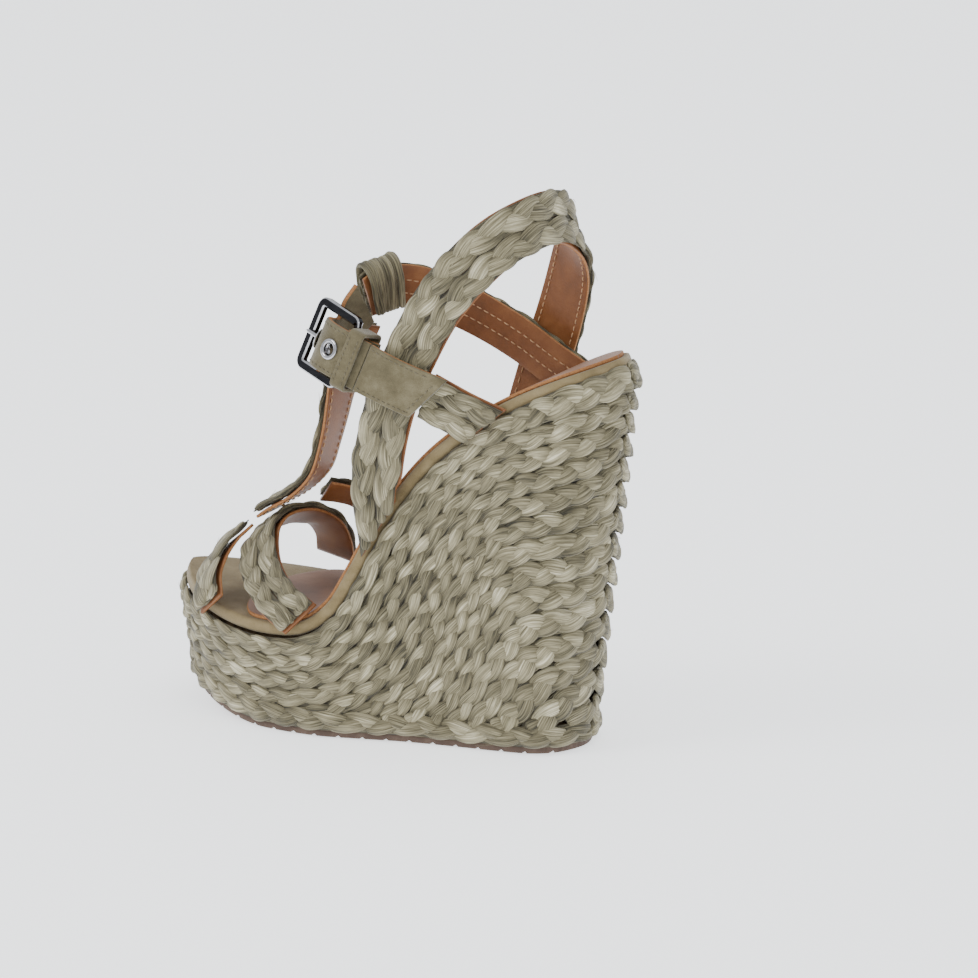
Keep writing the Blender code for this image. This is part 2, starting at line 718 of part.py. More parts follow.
def make_prong():
    """The prong curls round the rear bar and rests on the front bar."""
    radius = BAR_RADIUS + 0.25 + PRONG_RADIUS
    points = []
    for degrees in range(370, 89, -28):
        angle = math.radians(degrees)
        points.append(at_buckle(math.cos(angle) * radius, 0, math.sin(angle) * radius))
    for forward in (4.0, 9.0, 14.0, 19.0, 22.5):
        points.append(at_buckle(forward, 0, radius))
    prong = tube("buckle_prong", points, PRONG_RADIUS, 10, "metal")
    set_pivot(prong, mm(BAR_CENTRE))


def suede_path():
    """The strap end's inner face, from the end of the plaits, through the buckle, to its tip."""
    rows = [
        buckle_row((15.2, 16.6, -13.6), (1.0, 0.0)),
        buckle_row((14.9, 9.0, -10.4), (1.0, 0.1)),
        buckle_row((13.6, 1.4, -6.8), (1.0, 0.1)),
        buckle_row((12.2, 0.0, -1.6), (0.97, 0.2)),
        buckle_row((11.5, 0.1, 1.9), (0.9, 0.43)),
        buckle_row((9.8, 0.0, 4.3), (0.7, 0.7)),
        buckle_row((6.3, 0.0, 5.5), (0.2, 0.98)),
        buckle_row((2.0, 0.0, 5.4), (-0.15, 1.0)),
        buckle_row((-3.5, 0.0, 4.3), (-0.3, 0.95)),
        buckle_row((-12.0, -0.2, 1.6), (-0.3, 0.95)),
    ]
    tail = [(14.0, -38.9, 144.2), (24.0, -38.8, 141.0), (33.0, -38.2, 138.4)]
    return rows + [(*place, 0.0, -1.0, 0.1) for place in tail]


def eyelet(name, frame):
    """A turned eyelet through the strap: a barrel with a broad flange on the outer face."""
    place, along, side, outward = frame
    wall, top = EYELET_HOLE + EYELET_WALL, SUEDE_THICKNESS + 0.3
    profile = [
        (EYELET_HOLE, -0.6), (wall, -0.6), (wall, top), (EYELET_FLANGE, top),
        (EYELET_FLANGE - 0.3, top + 0.5), (EYELET_HOLE, top + 0.5),
    ]
    rings = []
    for k in range(20):
        angle = 2 * math.pi * k / 20
        arm = along * math.cos(angle) + side * math.sin(angle)
        rings.append([mm(place + arm * r + outward * t) for r, t in profile])
    loft(name, rings, "metal", closed=True)
    return tube(f"{name}_hole", [place - outward * 2.5, place + outward * 5.0], EYELET_CUT, 20, "metal")


def eased(frames, last):
    """Turn the strap's width evenly from its first direction to the one it has at frame last."""
    first_side, last_side = frames[0][2], frames[last][2]
    turned = []
    for i, (place, along, side, outward) in enumerate(frames[:last]):
        side = first_side.lerp(last_side, i / last).normalized()
        turned.append((place, along, side, along.cross(side).normalized()))
    return turned + frames[last:]


def make_suede_end():
    frames = eased(strap_frames(suede_path(), 56), 18)
    forward = [(frame[0] - BAR_CENTRE).dot(FORWARD) for frame in frames]
    split = next(i for i, f in enumerate(forward) if f < -TIP_START)
    place, along, side, outward = frames[split]
    held = frames[:split] + [(place - along * GAP, along, side, outward)]
    layer, across = (0.0, SUEDE_THICKNESS), (-SUEDE_WIDTH / 2, SUEDE_WIDTH / 2)
    end = strip("ankle_strap_end", held, across, layer, "suede", (-0.3, 0.0))
    rise = BAR_RADIUS + 0.25 + PRONG_RADIUS
    bend = min(frames[10:24], key=lambda f: abs((f[0] + f[3] - BAR_CENTRE).dot(OUTWARD) - rise))
    free = min(frames, key=lambda f: (f[0] - at_buckle(2.4, 0.0, 5.4)).length)
    cut(end, eyelet("eyelet_at_prong", bend))
    cut(end, eyelet("eyelet_free", free))
    tip = strip("ankle_strap_tip", frames[split:], across, layer, "suede", (0.0, 0.55))
    set_pivot(tip, mm(place + outward * SUEDE_THICKNESS))


def make_chape():
    """The tab that is folded round the buckle's rear bar, slotted for the prong."""
    ring = BAR_RADIUS + 0.3
    rows = [buckle_row((-11.2, 0.2, -3.9), (0.4, -0.9)), buckle_row((-9.0, 0.1, -2.7), (0.4, -0.9))]
    rows += [buckle_row((-6.0, 0.0, -1.5), (0.2, -1.0)), buckle_row((-3.0, 0.0, -1.9), (-0.05, -1.0))]
    for degrees in (-90, -60, -30, 0, 30, 60, 90):
        angle = math.radians(degrees)
        facing = (math.cos(angle), math.sin(angle))
        rows.append(buckle_row((ring * facing[0], 0.0, ring * facing[1]), facing))
    rows += [buckle_row((-3.0, 0.0, 1.0), (-0.35, 0.95)), buckle_row((-6.0, 0.0, -0.5), (-0.4, 0.9))]
    rows += [buckle_row((-9.0, 0.1, -2.0), (-0.45, 0.9)), buckle_row((-11.4, 0.2, -3.3), (-0.4, 0.9))]
    frames = strap_frames(rows, 44)
    half = CHAPE_WIDTH / 2
    chape = strip("buckle_chape", frames, (-half, half), (0.0, CHAPE_THICKNESS), "suede")
    width = PRONG_RADIUS * 2 + 1.4
    rings = []
    for upward in (-width / 2, width / 2):
        corners = ((-4.6, -4.0), (5.0, -4.0), (5.0, 4.2), (-4.6, 4.2))
        rings.append([mm(at_buckle(f, upward, o)) for f, o in corners])
    cut(chape, loft("prong_slot", rings, "suede"))


def make_keeper():
    """The loop that holds the strap end down; it slides along the strap."""
    middle = (-6.5, 0.0, 1.3)
    half_width, low, high = 10.4, -6.2, 5.1
    corner = 0.8
    route = [
        (-half_width + corner, low), (half_width - corner, low), (half_width, low + corner),
        (half_width, high - corner), (half_width - corner, high), (-half_width + corner, high),
        (-half_width, high - corner), (-half_width, low + corner),
    ]
    rings = []
    for i, (upward, out) in enumerate(route):
        before, after = route[i - 1], route[(i + 1) % len(route)]
        turn = Vector((after[1] - before[1], before[0] - after[0])).normalized()
        ring = []
        for thick, wide in ((0.0, -0.5), (0.0, 0.5), (1.0, 0.5), (1.0, -0.5)):
            up = upward + turn.x * thick * KEEPER_THICKNESS
            lift = out + turn.y * thick * KEEPER_THICKNESS
            step = wide * KEEPER_WIDTH
            forward = middle[0] + KEEPER_ALONG.x * step + KEEPER_OUT.x * lift
            outward = middle[2] + KEEPER_ALONG.z * step + KEEPER_OUT.z * lift
            ring.append(mm(at_buckle(forward, up, outward)))
        rings.append(ring)
    keeper = loft("strap_keeper", rings, "suede", closed=True)
    set_pivot(keeper, mm(at_buckle(*middle)))


def clear_scene():
    for obj in list(bpy.data.objects):
        bpy.data.objects.remove(obj, do_unlink=True)


def main():
    clear_scene()
    make_outsole()
    make_core()
    make_shank()
    make_footbed()
    make_wrap()
    make_foxing()
    make_straps()
    make_t_loop()
    make_buckle_frame()
    make_prong()
    make_suede_end()
    make_chape()
    make_keeper()


main()
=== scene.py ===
"""Looks of the left wedge sandal: raffia plaits, suede, leather, rubber and polished metal on the CAD frame.

Lengths are in millimetres before a piece is finished. The toe points along -X and the outer side is -Y.
"""

import math

import bpy
import numpy as np
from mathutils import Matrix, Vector


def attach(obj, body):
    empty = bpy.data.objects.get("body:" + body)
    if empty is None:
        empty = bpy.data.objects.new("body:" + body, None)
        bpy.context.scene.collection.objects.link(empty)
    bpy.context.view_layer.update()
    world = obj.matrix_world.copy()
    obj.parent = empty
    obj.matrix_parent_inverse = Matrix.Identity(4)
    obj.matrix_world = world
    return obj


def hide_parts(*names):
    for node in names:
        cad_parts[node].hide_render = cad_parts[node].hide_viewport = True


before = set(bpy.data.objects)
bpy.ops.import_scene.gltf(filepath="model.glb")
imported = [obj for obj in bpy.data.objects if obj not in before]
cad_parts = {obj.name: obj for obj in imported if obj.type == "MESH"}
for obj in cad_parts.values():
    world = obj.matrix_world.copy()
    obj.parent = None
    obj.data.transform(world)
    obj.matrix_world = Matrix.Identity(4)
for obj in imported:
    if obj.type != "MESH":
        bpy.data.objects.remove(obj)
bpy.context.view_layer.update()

# ------------------------------------------------ dimensions shared with the CAD (millimetres)
SHIFT = np.array([0.0, 1.786, 0.0])
GAP = 0.35
SOLE_THICKNESS = 2.8
SOLE_INSET = 1.6
TOE_SPRING_START = -40.0
TOE_SPRING_LENGTH = 50.0
TOE_SPRING_RISE = 9.5
FOXING_HEIGHT = 7.0
BRAID_PITCH = 6.6
BRAID_GAP = 0.8
FULL_ROWS = 4
SIDE_ROWS = 10
BOARD_INSET = 2.6
BOARD_BOTTOM = 0.45
BOARD_TOP = 5.4
SOCK_INSET = 4.6
SOCK_THICKNESS = 1.1
SOCK_FRONT = -62.0
SEAM_REACH = 34.0
SEAM_GATHER = 45.0
SEAM_SPREAD = 0.44
SEAM_SPREAD_REACH = 58.0
LINING = 1.2
SUEDE_WIDTH = 19.0
SUEDE_THICKNESS = 2.3
TIP_START = 13.0
BAR_RADIUS = 1.5
FRAME_LENGTH = 25.5
FRAME_WIDTH = 29.2
FRAME_BAR = 3.6
FRAME_DEPTH = 3.0
FRAME_CORNER = 2.2
EYELET_HOLE = 2.4
PRONG_RADIUS = 0.8
CHAPE_WIDTH = 18.0
KEEPER_WIDTH = 6.5
KEEPER_THICKNESS = 1.4

OUTLINE = [
    (98.5, 1.0, 1.0, 80.5, 1.0, 1.0), (96.0, -9.0, 11.0, 78.8, -8.0, 10.0),
    (90.0, -19.5, 21.2, 74.2, -16.5, 18.5), (80.0, -26.5, 27.8, 66.0, -22.0, 24.0),
    (62.0, -29.4, 30.0, 53.0, -25.0, 26.0), (42.0, -29.8, 29.6, 36.0, -27.5, 26.5),
    (20.0, -32.0, 30.5, 17.0, -31.0, 28.0), (2.0, -37.0, 34.5, 1.0, -35.5, 32.5),
    (-18.0, -41.3, 40.0, -17.0, -40.0, 38.5), (-40.0, -40.6, 42.0, -38.0, -39.8, 41.0),
    (-60.0, -35.6, 39.0, -56.0, -35.4, 38.2), (-79.0, -25.0, 29.5, -73.0, -26.0, 29.5),
    (-92.5, -11.5, 16.0, -85.0, -13.0, 17.0), (-98.5, 2.0, 2.0, -90.0, 2.0, 2.0),
]
RIM_PROFILE = [
    (-100.0, 47.0), (-82.0, 41.6), (-58.0, 37.8), (-38.0, 36.8), (-21.0, 39.5), (-9.0, 48.5),
    (-1.0, 62.0), (8.0, 79.5), (17.0, 94.0), (29.0, 108.6), (44.0, 121.5), (61.0, 132.5),
    (79.0, 141.4), (98.5, 148.6),
]
BACK_LOOP = [
    (9.0, -33.8, 84.0, 0.24, -0.97, 0.0), (8.0, -33.4, 100.0, 0.1, -1, 0.0),
    (10.0, -31.8, 118.0, 0.0, -1, 0.1), (15.0, -30.8, 137.0, 0.0, -1, 0.1),
    (22.5, -29.8, 154.0, 0.0, -1, 0.1), (31.5, -28.6, 171.0, 0.05, -1, 0.1),
    (42.0, -26.5, 185.0, 0.2, -1, 0.12), (52.0, -21.0, 196.0, 0.55, -0.8, 0.15),
    (60.0, -12.0, 202.0, 0.85, -0.45, 0.2), (63.5, 0.0, 203.0, 1, 0.0, 0.25),
    (63.0, 12.0, 199.0, 0.9, 0.4, 0.2), (60.0, 23.0, 189.5, 0.6, 0.8, 0.12),
    (55.5, 30.5, 175.5, 0.25, 1, 0.08), (50.0, 34.8, 160.0, 0.1, 1, 0.05),
    (45.0, 35.6, 145.0, 0.0, 1, 0.0), (40.0, 34.0, 130.0, 0.0, 1, 0.0),
    (36.0, 31.5, 117.5, 0.0, 1, 0.0),
]
ANKLE_OUTER = [
    (28.2, -29.9, 137.4, 0.0, -1, 0.05), (36.0, -29.2, 134.2, 0.0, -1, 0.0),
    (44.0, -28.8, 131.0, 0.0, -1, 0.0), (52.3, -28.6, 128.3, 0.0, -1, 0.0),
]
ANKLE_FRONT = [
    (60.0, 28.6, 133.6, 0.0, 1, 0.0), (48.0, 29.3, 139.5, 0.0, 1, 0.0),
    (36.0, 29.0, 146.5, -0.05, 1, 0.0), (24.0, 26.5, 153.3, -0.15, 1, 0.0),
    (13.0, 21.0, 160.0, -0.5, 0.85, 0.05), (4.5, 13.5, 165.5, -0.7, 0.7, 0.1),
    (-1.5, 5.0, 168.6, -0.8, 0.6, 0.15), (-6.3, -2.5, 168.6, -0.87, 0.48, 0.15),
    (-9.2, -8.4, 166.0, -0.89, 0.42, 0.18),
]
T_STRAP = [
    (-59.0, 1.0, 73.5, -0.6, 0.0, 0.8), (-54.2, 0.6, 77.1, -0.6, 0.0, 0.8),
    (-46.4, 0.2, 81.8, -0.65, 0.0, 0.72), (-39.6, 0.0, 87.4, -0.8, 0.0, 0.55),
    (-34.5, 0.0, 94.0, -0.92, 0.0, 0.4), (-31.0, 0.0, 104.0, -0.95, 0.0, 0.3),
    (-28.3, 0.0, 114.0, -0.97, 0.05, 0.2), (-26.0, 0.2, 125.0, -0.95, 0.15, 0.2),
    (-22.5, 0.4, 139.0, -0.9, 0.35, 0.2), (-17.5, 0.5, 152.5, -0.82, 0.55, 0.25),
]
VAMP_REAR = [
    (-21.5, -40.2, 45.8, -0.25, -0.75, 0.6), (-35.0, -34.5, 50.5, -0.2, -0.6, 0.75),
    (-47.0, -24.5, 57.0, -0.3, -0.45, 0.85), (-54.0, -12.5, 64.0, -0.45, -0.2, 0.85),
    (-54.0, -1.0, 69.5, -0.6, 0.0, 0.8), (-49.5, 9.0, 71.0, -0.4, 0.35, 0.85),
    (-45.5, 18.5, 67.0, -0.1, 0.65, 0.7), (-46.5, 28.0, 58.5, 0.0, 0.85, 0.4),
    (-50.0, 36.0, 48.8, -0.05, 0.95, 0.3),
]
VAMP_FRONT_OUTER = [
    (-63.5, -34.8, 44.8, -0.55, -0.7, 0.45), (-68.0, -28.0, 51.5, -0.6, -0.45, 0.65),
    (-69.2, -20.0, 57.5, -0.6, -0.25, 0.75), (-68.2, -12.0, 62.5, -0.6, -0.1, 0.8),
    (-65.2, -4.5, 66.8, -0.6, 0.0, 0.8),
]
VAMP_REAR_INNER = [
    (-39.6, 10.9, 81.6, -0.55, 0.4, 0.7), (-34.9, 15.8, 80.0, -0.3, 0.65, 0.7),
    (-30.0, 21.0, 77.2, -0.15, 0.75, 0.6), (-23.6, 29.2, 69.5, -0.05, 0.9, 0.4),
    (-16.5, 35.46, 59.5, 0.0, 0.95, 0.25), (-11.0, 38.07, 53.0, 0.0, 1, 0.1),
]
LOOP_CENTRE = np.array([-6.0, -2.3, 168.5])
LOOP_ROUTE = [
    (6.9, -13.0), (6.9, -4.0), (6.9, 5.0), (6.0, 9.4), (2.8, 11.2), (-1.2, 9.6), (-3.1, 5.0), (-3.3, -2.0),
    (-3.3, -8.5),
]


def unit(v):
    v = np.asarray(v, float)
    return v / np.linalg.norm(v, axis=-1, keepdims=True)


BAR_CENTRE = np.array([-5.5, -32.0, 149.5])
FORWARD = unit([-0.89, 0.40, 0.21])
UPWARD = np.array([0.30, 0.21, 0.93])
UPWARD = unit(UPWARD - FORWARD * UPWARD.dot(FORWARD))
OUTWARD = np.cross(UPWARD, FORWARD)
KEEPER_ALONG = unit([-0.953, 0.0, -0.302])
KEEPER_OUT = unit([-0.302, 0.0, 0.953])


# ------------------------------------------------ curves
def curve(points, at, closed=False):
    """Values on the smooth curve through rows of numbers; at is an array that counts rows."""
    rows = np.asarray(points, float)
    n = len(rows)
    at = np.atleast_1d(np.asarray(at, float))
    i = np.floor(at).astype(int)
    if not closed:
        i = np.clip(i, 0, n - 2)
    f = (at - i)[:, None]
    if closed:
        a, b, c, d = (rows[(i + k) % n] for k in (-1, 0, 1, 2))
    else:
        b, c = rows[i], rows[i + 1]
        a = np.where((i > 0)[:, None], rows[np.maximum(i - 1, 0)], 2 * b - c)
        d = np.where((i + 2 < n)[:, None], rows[np.minimum(i + 2, n - 1)], 2 * c - b)
    square = 2 * a - 5 * b + 4 * c - d
    cube = 3 * b - a - 3 * c + d
    return 0.5 * (2 * b + (c - a) * f + square * f * f + cube * f ** 3)


def lengths(points):
    """Length along a row of points up to each one."""
    return np.concatenate([[0], np.cumsum(np.linalg.norm(np.diff(points[:, :3], axis=0), axis=1))])


def resample(rows, count):
    """Rows evenly spaced along the path that their first three numbers make."""
    along = lengths(rows)
    at = np.linspace(0, along[-1], count)
    return np.stack([np.interp(at, along, rows[:, k]) for k in range(rows.shape[1])], axis=1)


def spread(points, count):
    fine = curve(points, np.linspace(0, len(points) - 1, 30 * len(points)))
    return resample(fine, count)


def wander(rng, s, step):
    """A smooth random value between -1 and 1 that changes about once per step along s."""
    knots = rng.uniform(-1, 1, int(s[-1] / step) + 3)
    at = s / step
    i = np.floor(at).astype(int)
    f = at - i
    f = f * f * (3 - 2 * f)
    return knots[i] * (1 - f) + knots[i + 1] * f


# ------------------------------------------------ the wedge's side surface, as in the CAD
def outline_loop(columns):
    outer = [(row[columns[0]], row[columns[1]]) for row in OUTLINE]
    inner = [(row[columns[0]], row[columns[2]]) for row in OUTLINE[-2:0:-1]]
    return outer + inner


RIM_LOOP = outline_loop((0, 1, 2))
SOLE_LOOP = outline_loop((3, 4, 5))
TURNS = len(RIM_LOOP)
PROFILE_FINE = curve(RIM_PROFILE, np.linspace(0, len(RIM_PROFILE) - 1, 400))


def rim_height(x):
    return np.interp(x, PROFILE_FINE[:, 0], PROFILE_FINE[:, 1])


def ground(x):
    """Height of the sole's underside, which lifts towards the toe."""
    ahead = np.maximum(0.0, (TOE_SPRING_START - x) / TOE_SPRING_LENGTH)
    return TOE_SPRING_RISE * ahead ** 1.5


def inward(loop, u):
    """Unit vectors pointing into the outline at u."""
    along = unit(curve(loop, u + 0.02, True) - curve(loop, u - 0.02, True))
    return np.stack([-along[:, 1], along[:, 0]], axis=1)


TURN_SIGN = 1.0 if inward(RIM_LOOP, np.array([0.0]))[0, 0] < 0 else -1.0


def loop_point(loop, u, inset):
    return curve(loop, u, True) + inset * TURN_SIGN * inward(loop, u)


def side_point(u, z, depth):
    """Points of the wedge's side at height z, depth below its outer surface."""
    top, bottom = curve(RIM_LOOP, u, True), curve(SOLE_LOOP, u, True)
    low, high = ground(bottom[:, 0]), rim_height(top[:, 0])
    share = (z - low) / (high - low)
    place = bottom + (top - bottom) * share[:, None]
    turn = unit(inward(SOLE_LOOP, u) * (1 - share)[:, None] + inward(RIM_LOOP, u) * share[:, None])
    under = place + depth * TURN_SIGN * turn
    settle = (rim_height(under[:, 0]) - rim_height(place[:, 0])) * share
    return np.stack([under[:, 0], under[:, 1], z + settle], axis=1)


def over_rim(u, inset, lift):
    """Points a given distance square to the rim's profile."""
    u = np.atleast_1d(u)
    place = loop_point(RIM_LOOP, u, inset)
    x = place[:, 0]
    slope = rim_height(x + 0.5) - rim_height(x - 0.5)
    size = np.hypot(1.0, slope)
    return np.stack([x - slope / size * lift, place[:, 1], rim_height(x) + lift / size], axis=1)


# ------------------------------------------------ building meshes
METRES = 0.001
UV_PER_MM = 0.1


class Shape:
    """Collects one piece's surface: places, faces, fibre coordinates, tones (on plait strands partly painted
    shade) and finishes.
    """

    def __init__(self):
        self.points, self.quads, self.uvs, self.tones, self.slots = [], [], [], [], []
        self.count = 0

    def rings(self, rings, along=None, tone=0.5, slot=0, closed=False):
        """Join rings of points, an array of (rings, points, 3), and cap the open ends with fans."""
        n, m, _ = rings.shape
        if along is None:
            along = lengths(rings.mean(axis=1))
        width = float(np.linalg.norm(np.diff(rings[n // 2], axis=0), axis=1).sum())
        tone = np.asarray(tone, float)
        tone = np.broadcast_to(tone[:, None] if tone.ndim == 1 else tone, (n, m))
        slot = np.broadcast_to(np.asarray(slot, int), (m,))
        start = self.count
        self.points.append(rings.reshape(-1, 3))
        self.tones.append(tone.reshape(-1))
        self.count += n * m
        i = np.arange(n if closed else n - 1)
        k = np.arange(m)
        a = start + i[:, None] * m + k[None, :]
        b = start + i[:, None] * m + (k[None, :] + 1) % m
        ni = (i + 1) % n
        c = start + ni[:, None] * m + (k[None, :] + 1) % m
        d = start + ni[:, None] * m + k[None, :]
        self.quads.append(np.stack([a, b, c, d], axis=-1).reshape(-1, 4))
        v0 = np.broadcast_to(along[i][:, None], (len(i), m))
        step = along[1] - along[0]
        v1 = v0 + (np.diff(np.append(along, along[-1] + step))[i])[:, None]
        w0 = np.broadcast_to(k[None, :] * width / m, v0.shape)
        w1 = w0 + width / m
        uv = np.stack([np.stack(pair, -1) for pair in ((v0, w0), (v0, w1), (v1, w1), (v1, w0))], axis=-2)
        self.uvs.append(uv.reshape(-1, 2))
        self.slots.append(np.broadcast_to(slot[None, :], a.shape).reshape(-1))
        if not closed:
            self.cap(rings[0], start, m, tone[0], slot[0], along[0], True)
            self.cap(rings[-1], start + (n - 1) * m, m, tone[-1], slot[0], along[-1], False)

    def cap(self, ring, start, m, tone, slot, along, first):
        """Close an end with quads to its middle."""
        middle = self.count
        self.points.append(ring.mean(axis=0)[None])
        self.tones.append(np.array([tone.mean()]))
        self.count += 1
        faces = []
        for k in range(0, m - 1, 2):
            face = [middle, start + k, start + k + 1, start + (k + 2) % m]
            faces.append(face[::-1] if first else face)
        self.quads.append(np.array(faces))
        corners = [[along, 0.0], [along, 1.0], [along + 1, 1.0], [along + 1, 0.0]]
        self.uvs.append(np.tile(corners, (len(faces), 1)))
        self.slots.append(np.full(len(faces), slot))

    def finish(self, name, materials, node=None, body="shoe", slot=None, sharp=None):
        """Make the object, let it ride its body and stand for its CAD node."""
        points = (np.concatenate(self.points) + SHIFT) * METRES
        quads = np.concatenate(self.quads)
        mesh = bpy.data.meshes.new(name)
        mesh.vertices.add(len(points))
        mesh.vertices.foreach_set("co", points.astype(np.float32).ravel())
        mesh.loops.add(quads.size)
        mesh.loops.foreach_set("vertex_index", quads.astype(np.int32).ravel())
        mesh.polygons.add(len(quads))
        mesh.polygons.foreach_set("loop_start", np.arange(0, quads.size, 4, dtype=np.int32))
        mesh.polygons.foreach_set("material_index", np.concatenate(self.slots).astype(np.int32))
        mesh.update(calc_edges=True)
        layer = mesh.uv_layers.new(name="fibre")
        layer.data.foreach_set("uv", (np.concatenate(self.uvs) * UV_PER_MM).astype(np.float32).ravel())
        tone = mesh.attributes.new("tone", "FLOAT", "POINT")
        tone.data.foreach_set("value", np.concatenate(self.tones).astype(np.float32))
        mesh.shade_smooth()
        if sharp:
            mesh.set_sharp_from_angle(angle=math.radians(sharp))
        obj = bpy.data.objects.new(name, mesh)
        bpy.context.scene.collection.objects.link(obj)
        for material in materials:
            mesh.materials.append(material)
        if node:
            settle(obj, node, body, slot)
        return obj


def settle(obj, node, body, slot):
    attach(obj, body)
    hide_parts(node)


def round_tube(points, radius, up, sides):
    """Rings of a round bar along points; radius may be one number or one per point."""
    points = np.asarray(points, float)
    along = unit(np.gradient(points, axis=0))
    side = unit(np.cross(np.broadcast_to(up, along.shape), along))
    rise = np.cross(along, side)
    angle = 2 * np.pi * np.arange(sides) / sides
    reach = np.broadcast_to(np.asarray(radius, float), (len(points),))[:, None, None]
    arms = side[:, None] * np.cos(angle)[None, :, None] + rise[:, None] * np.sin(angle)[None, :, None]
    return points[:, None] + arms * reach


# ------------------------------------------------ raffia plaits
class Track:
    """A plait's course: places, unit width directions, unit outward directions and half widths."""

    def __init__(self, place, across, outward, half, step=1.15):
        data = np.concatenate([place, across, outward, half[:, None]], axis=1)
        total = lengths(data)[-1]
        data = resample(data, max(8, int(total / step)))
        self.s = lengths(data)
        self.place, self.across, self.outward, self.half = data[:, :3], data[:, 3:6], data[:, 6:9], data[:, 9]


STRAND_SIDES = 14
STRAND_END = 2.5
FIBRE_STEP = 7.0


def fibrous(rng, s, sides, amount):
    """A small random swelling for each point of a section, which drifts along the strand."""
    return 1 + amount * np.stack([wander(rng, s, FIBRE_STEP) for _ in range(sides)], axis=1)


def lay_strand(shape, track, lateral, height, wide, thick, tone, rng):
    """A flattened, fibrous strand that runs along a track at the given lateral place and height."""
    s = track.s
    centre = track.place + track.across * lateral[:, None] + track.outward * height[:, None]
    along = unit(np.gradient(centre, axis=0))
    side = unit(np.cross(track.outward, along))
    rise = np.cross(along, side)
    end = np.clip(np.minimum(s, s[-1] - s) / STRAND_END, 0, 1)
    end = 0.45 + 0.55 * np.sqrt(1 - (1 - end) ** 2)
    angle = 2 * np.pi * (np.arange(STRAND_SIDES) + 0.5) / STRAND_SIDES
    swell = fibrous(rng, s, STRAND_SIDES, 0.10)
    x = np.sign(np.cos(angle)) * np.abs(np.cos(angle)) ** 0.9
    y = np.sign(np.sin(angle)) * np.abs(np.sin(angle)) ** 1.25
    rings = centre[:, None] + side[:, None] * (wide * end)[:, None, None] * (x * swell)[..., None]
    rings = rings + rise[:, None] * (thick * end)[:, None, None] * (y * swell)[..., None]
    fibre = np.stack([wander(rng, s, 11.0) for _ in range(STRAND_SIDES)], axis=1)
    shape.rings(rings, along=s + rng.uniform(0, 900), tone=np.clip(tone[:, None] + 0.10 * fibre, 0, 1))


def painted_shade_sheet(shape, track, height):
    """A dark sheet under a plait, painted shade that shows only between its strands."""
    arm = track.across * (track.half * 0.97)[:, None]
    low, high = track.outward * (height - 0.5), track.outward * height
    steps = (-1.0, -0.33, 0.33, 1.0)
    rings = [track.place + arm * w + low for w in steps]
    rings += [track.place + arm * w + high for w in steps[::-1]]
    shape.rings(np.stack(rings, axis=1), tone=0.25)


def plait(shape, track, rng, period, rise=0.50, thick=1.10, lift=-1.4):
    """Three strands that cross over and under each other."""
    s = track.s
    # a dark sheet of painted shade under the strands
    painted_shade_sheet(shape, track, lift + 0.1)
    start = rng.uniform(0, 2 * np.pi)
    turns = 2 * np.pi * (s + 2.2 * wander(rng, s, 19.0)) / period
    for k in range(3):
        theta = turns + start + k * 2 * np.pi / 3 + 0.16 * wander(rng, s, 13.0)
        over = np.sin(2 * theta)
        swing = 0.5 * np.sin(theta) + 0.5 * 2 / np.pi * np.arcsin(0.985 * np.sin(theta))
        lateral = track.half * (0.49 + 0.03 * wander(rng, s, 9.0)) * swing
        height = lift + rise * over + 0.12 * wander(rng, s, 8.0)
        wide = track.half * (0.60 + 0.10 * over + 0.04 * wander(rng, s, 10.0))
        deep = thick * (0.95 + 0.10 * over + 0.08 * wander(rng, s, 12.0))
        # random strand tone, plus painted shade: the over term darkens each strand where it dips under the
        # others
        shade = 0.5 + 0.10 * rng.uniform(-1, 1) + 0.16 * wander(rng, s, 8.5) + 0.10 * over
        lay_strand(shape, track, lateral, height, wide, deep, shade, rng)


def stray_fibres(shape, track, rng, every, height):
    """Thin loose fibres that lie along the plait and lift off it at one end."""
    for _ in range(int(track.s[-1] / every)):
        first = int(rng.uniform(0, len(track.s) - 8))
        reach = int(rng.uniform(5, 8))
        idx = slice(first, first + reach)
        t = np.linspace(0, 1, reach)
        lateral = track.half[idx] * (rng.uniform(-0.9, 0.9) + rng.uniform(-0.3, 0.3) * t)
        lift = height + rng.uniform(0.3, 1.3) * t ** 2
        points = track.place[idx] + track.across[idx] * lateral[:, None] + track.outward[idx] * lift[:, None]
        tube = round_tube(points, 0.11 * (1 - 0.6 * t), track.outward[first], 5)
        shape.rings(tube, tone=rng.uniform(0.4, 0.95))


# ------------------------------------------------ materials
def node(tree, kind, **values):
    made = tree.nodes.new(kind)
    for key, value in values.items():
        if isinstance(value, (int, float, tuple)) and key in made.inputs:
            made.inputs[key].default_value = value
        else:
            setattr(made, key, value)
    return made


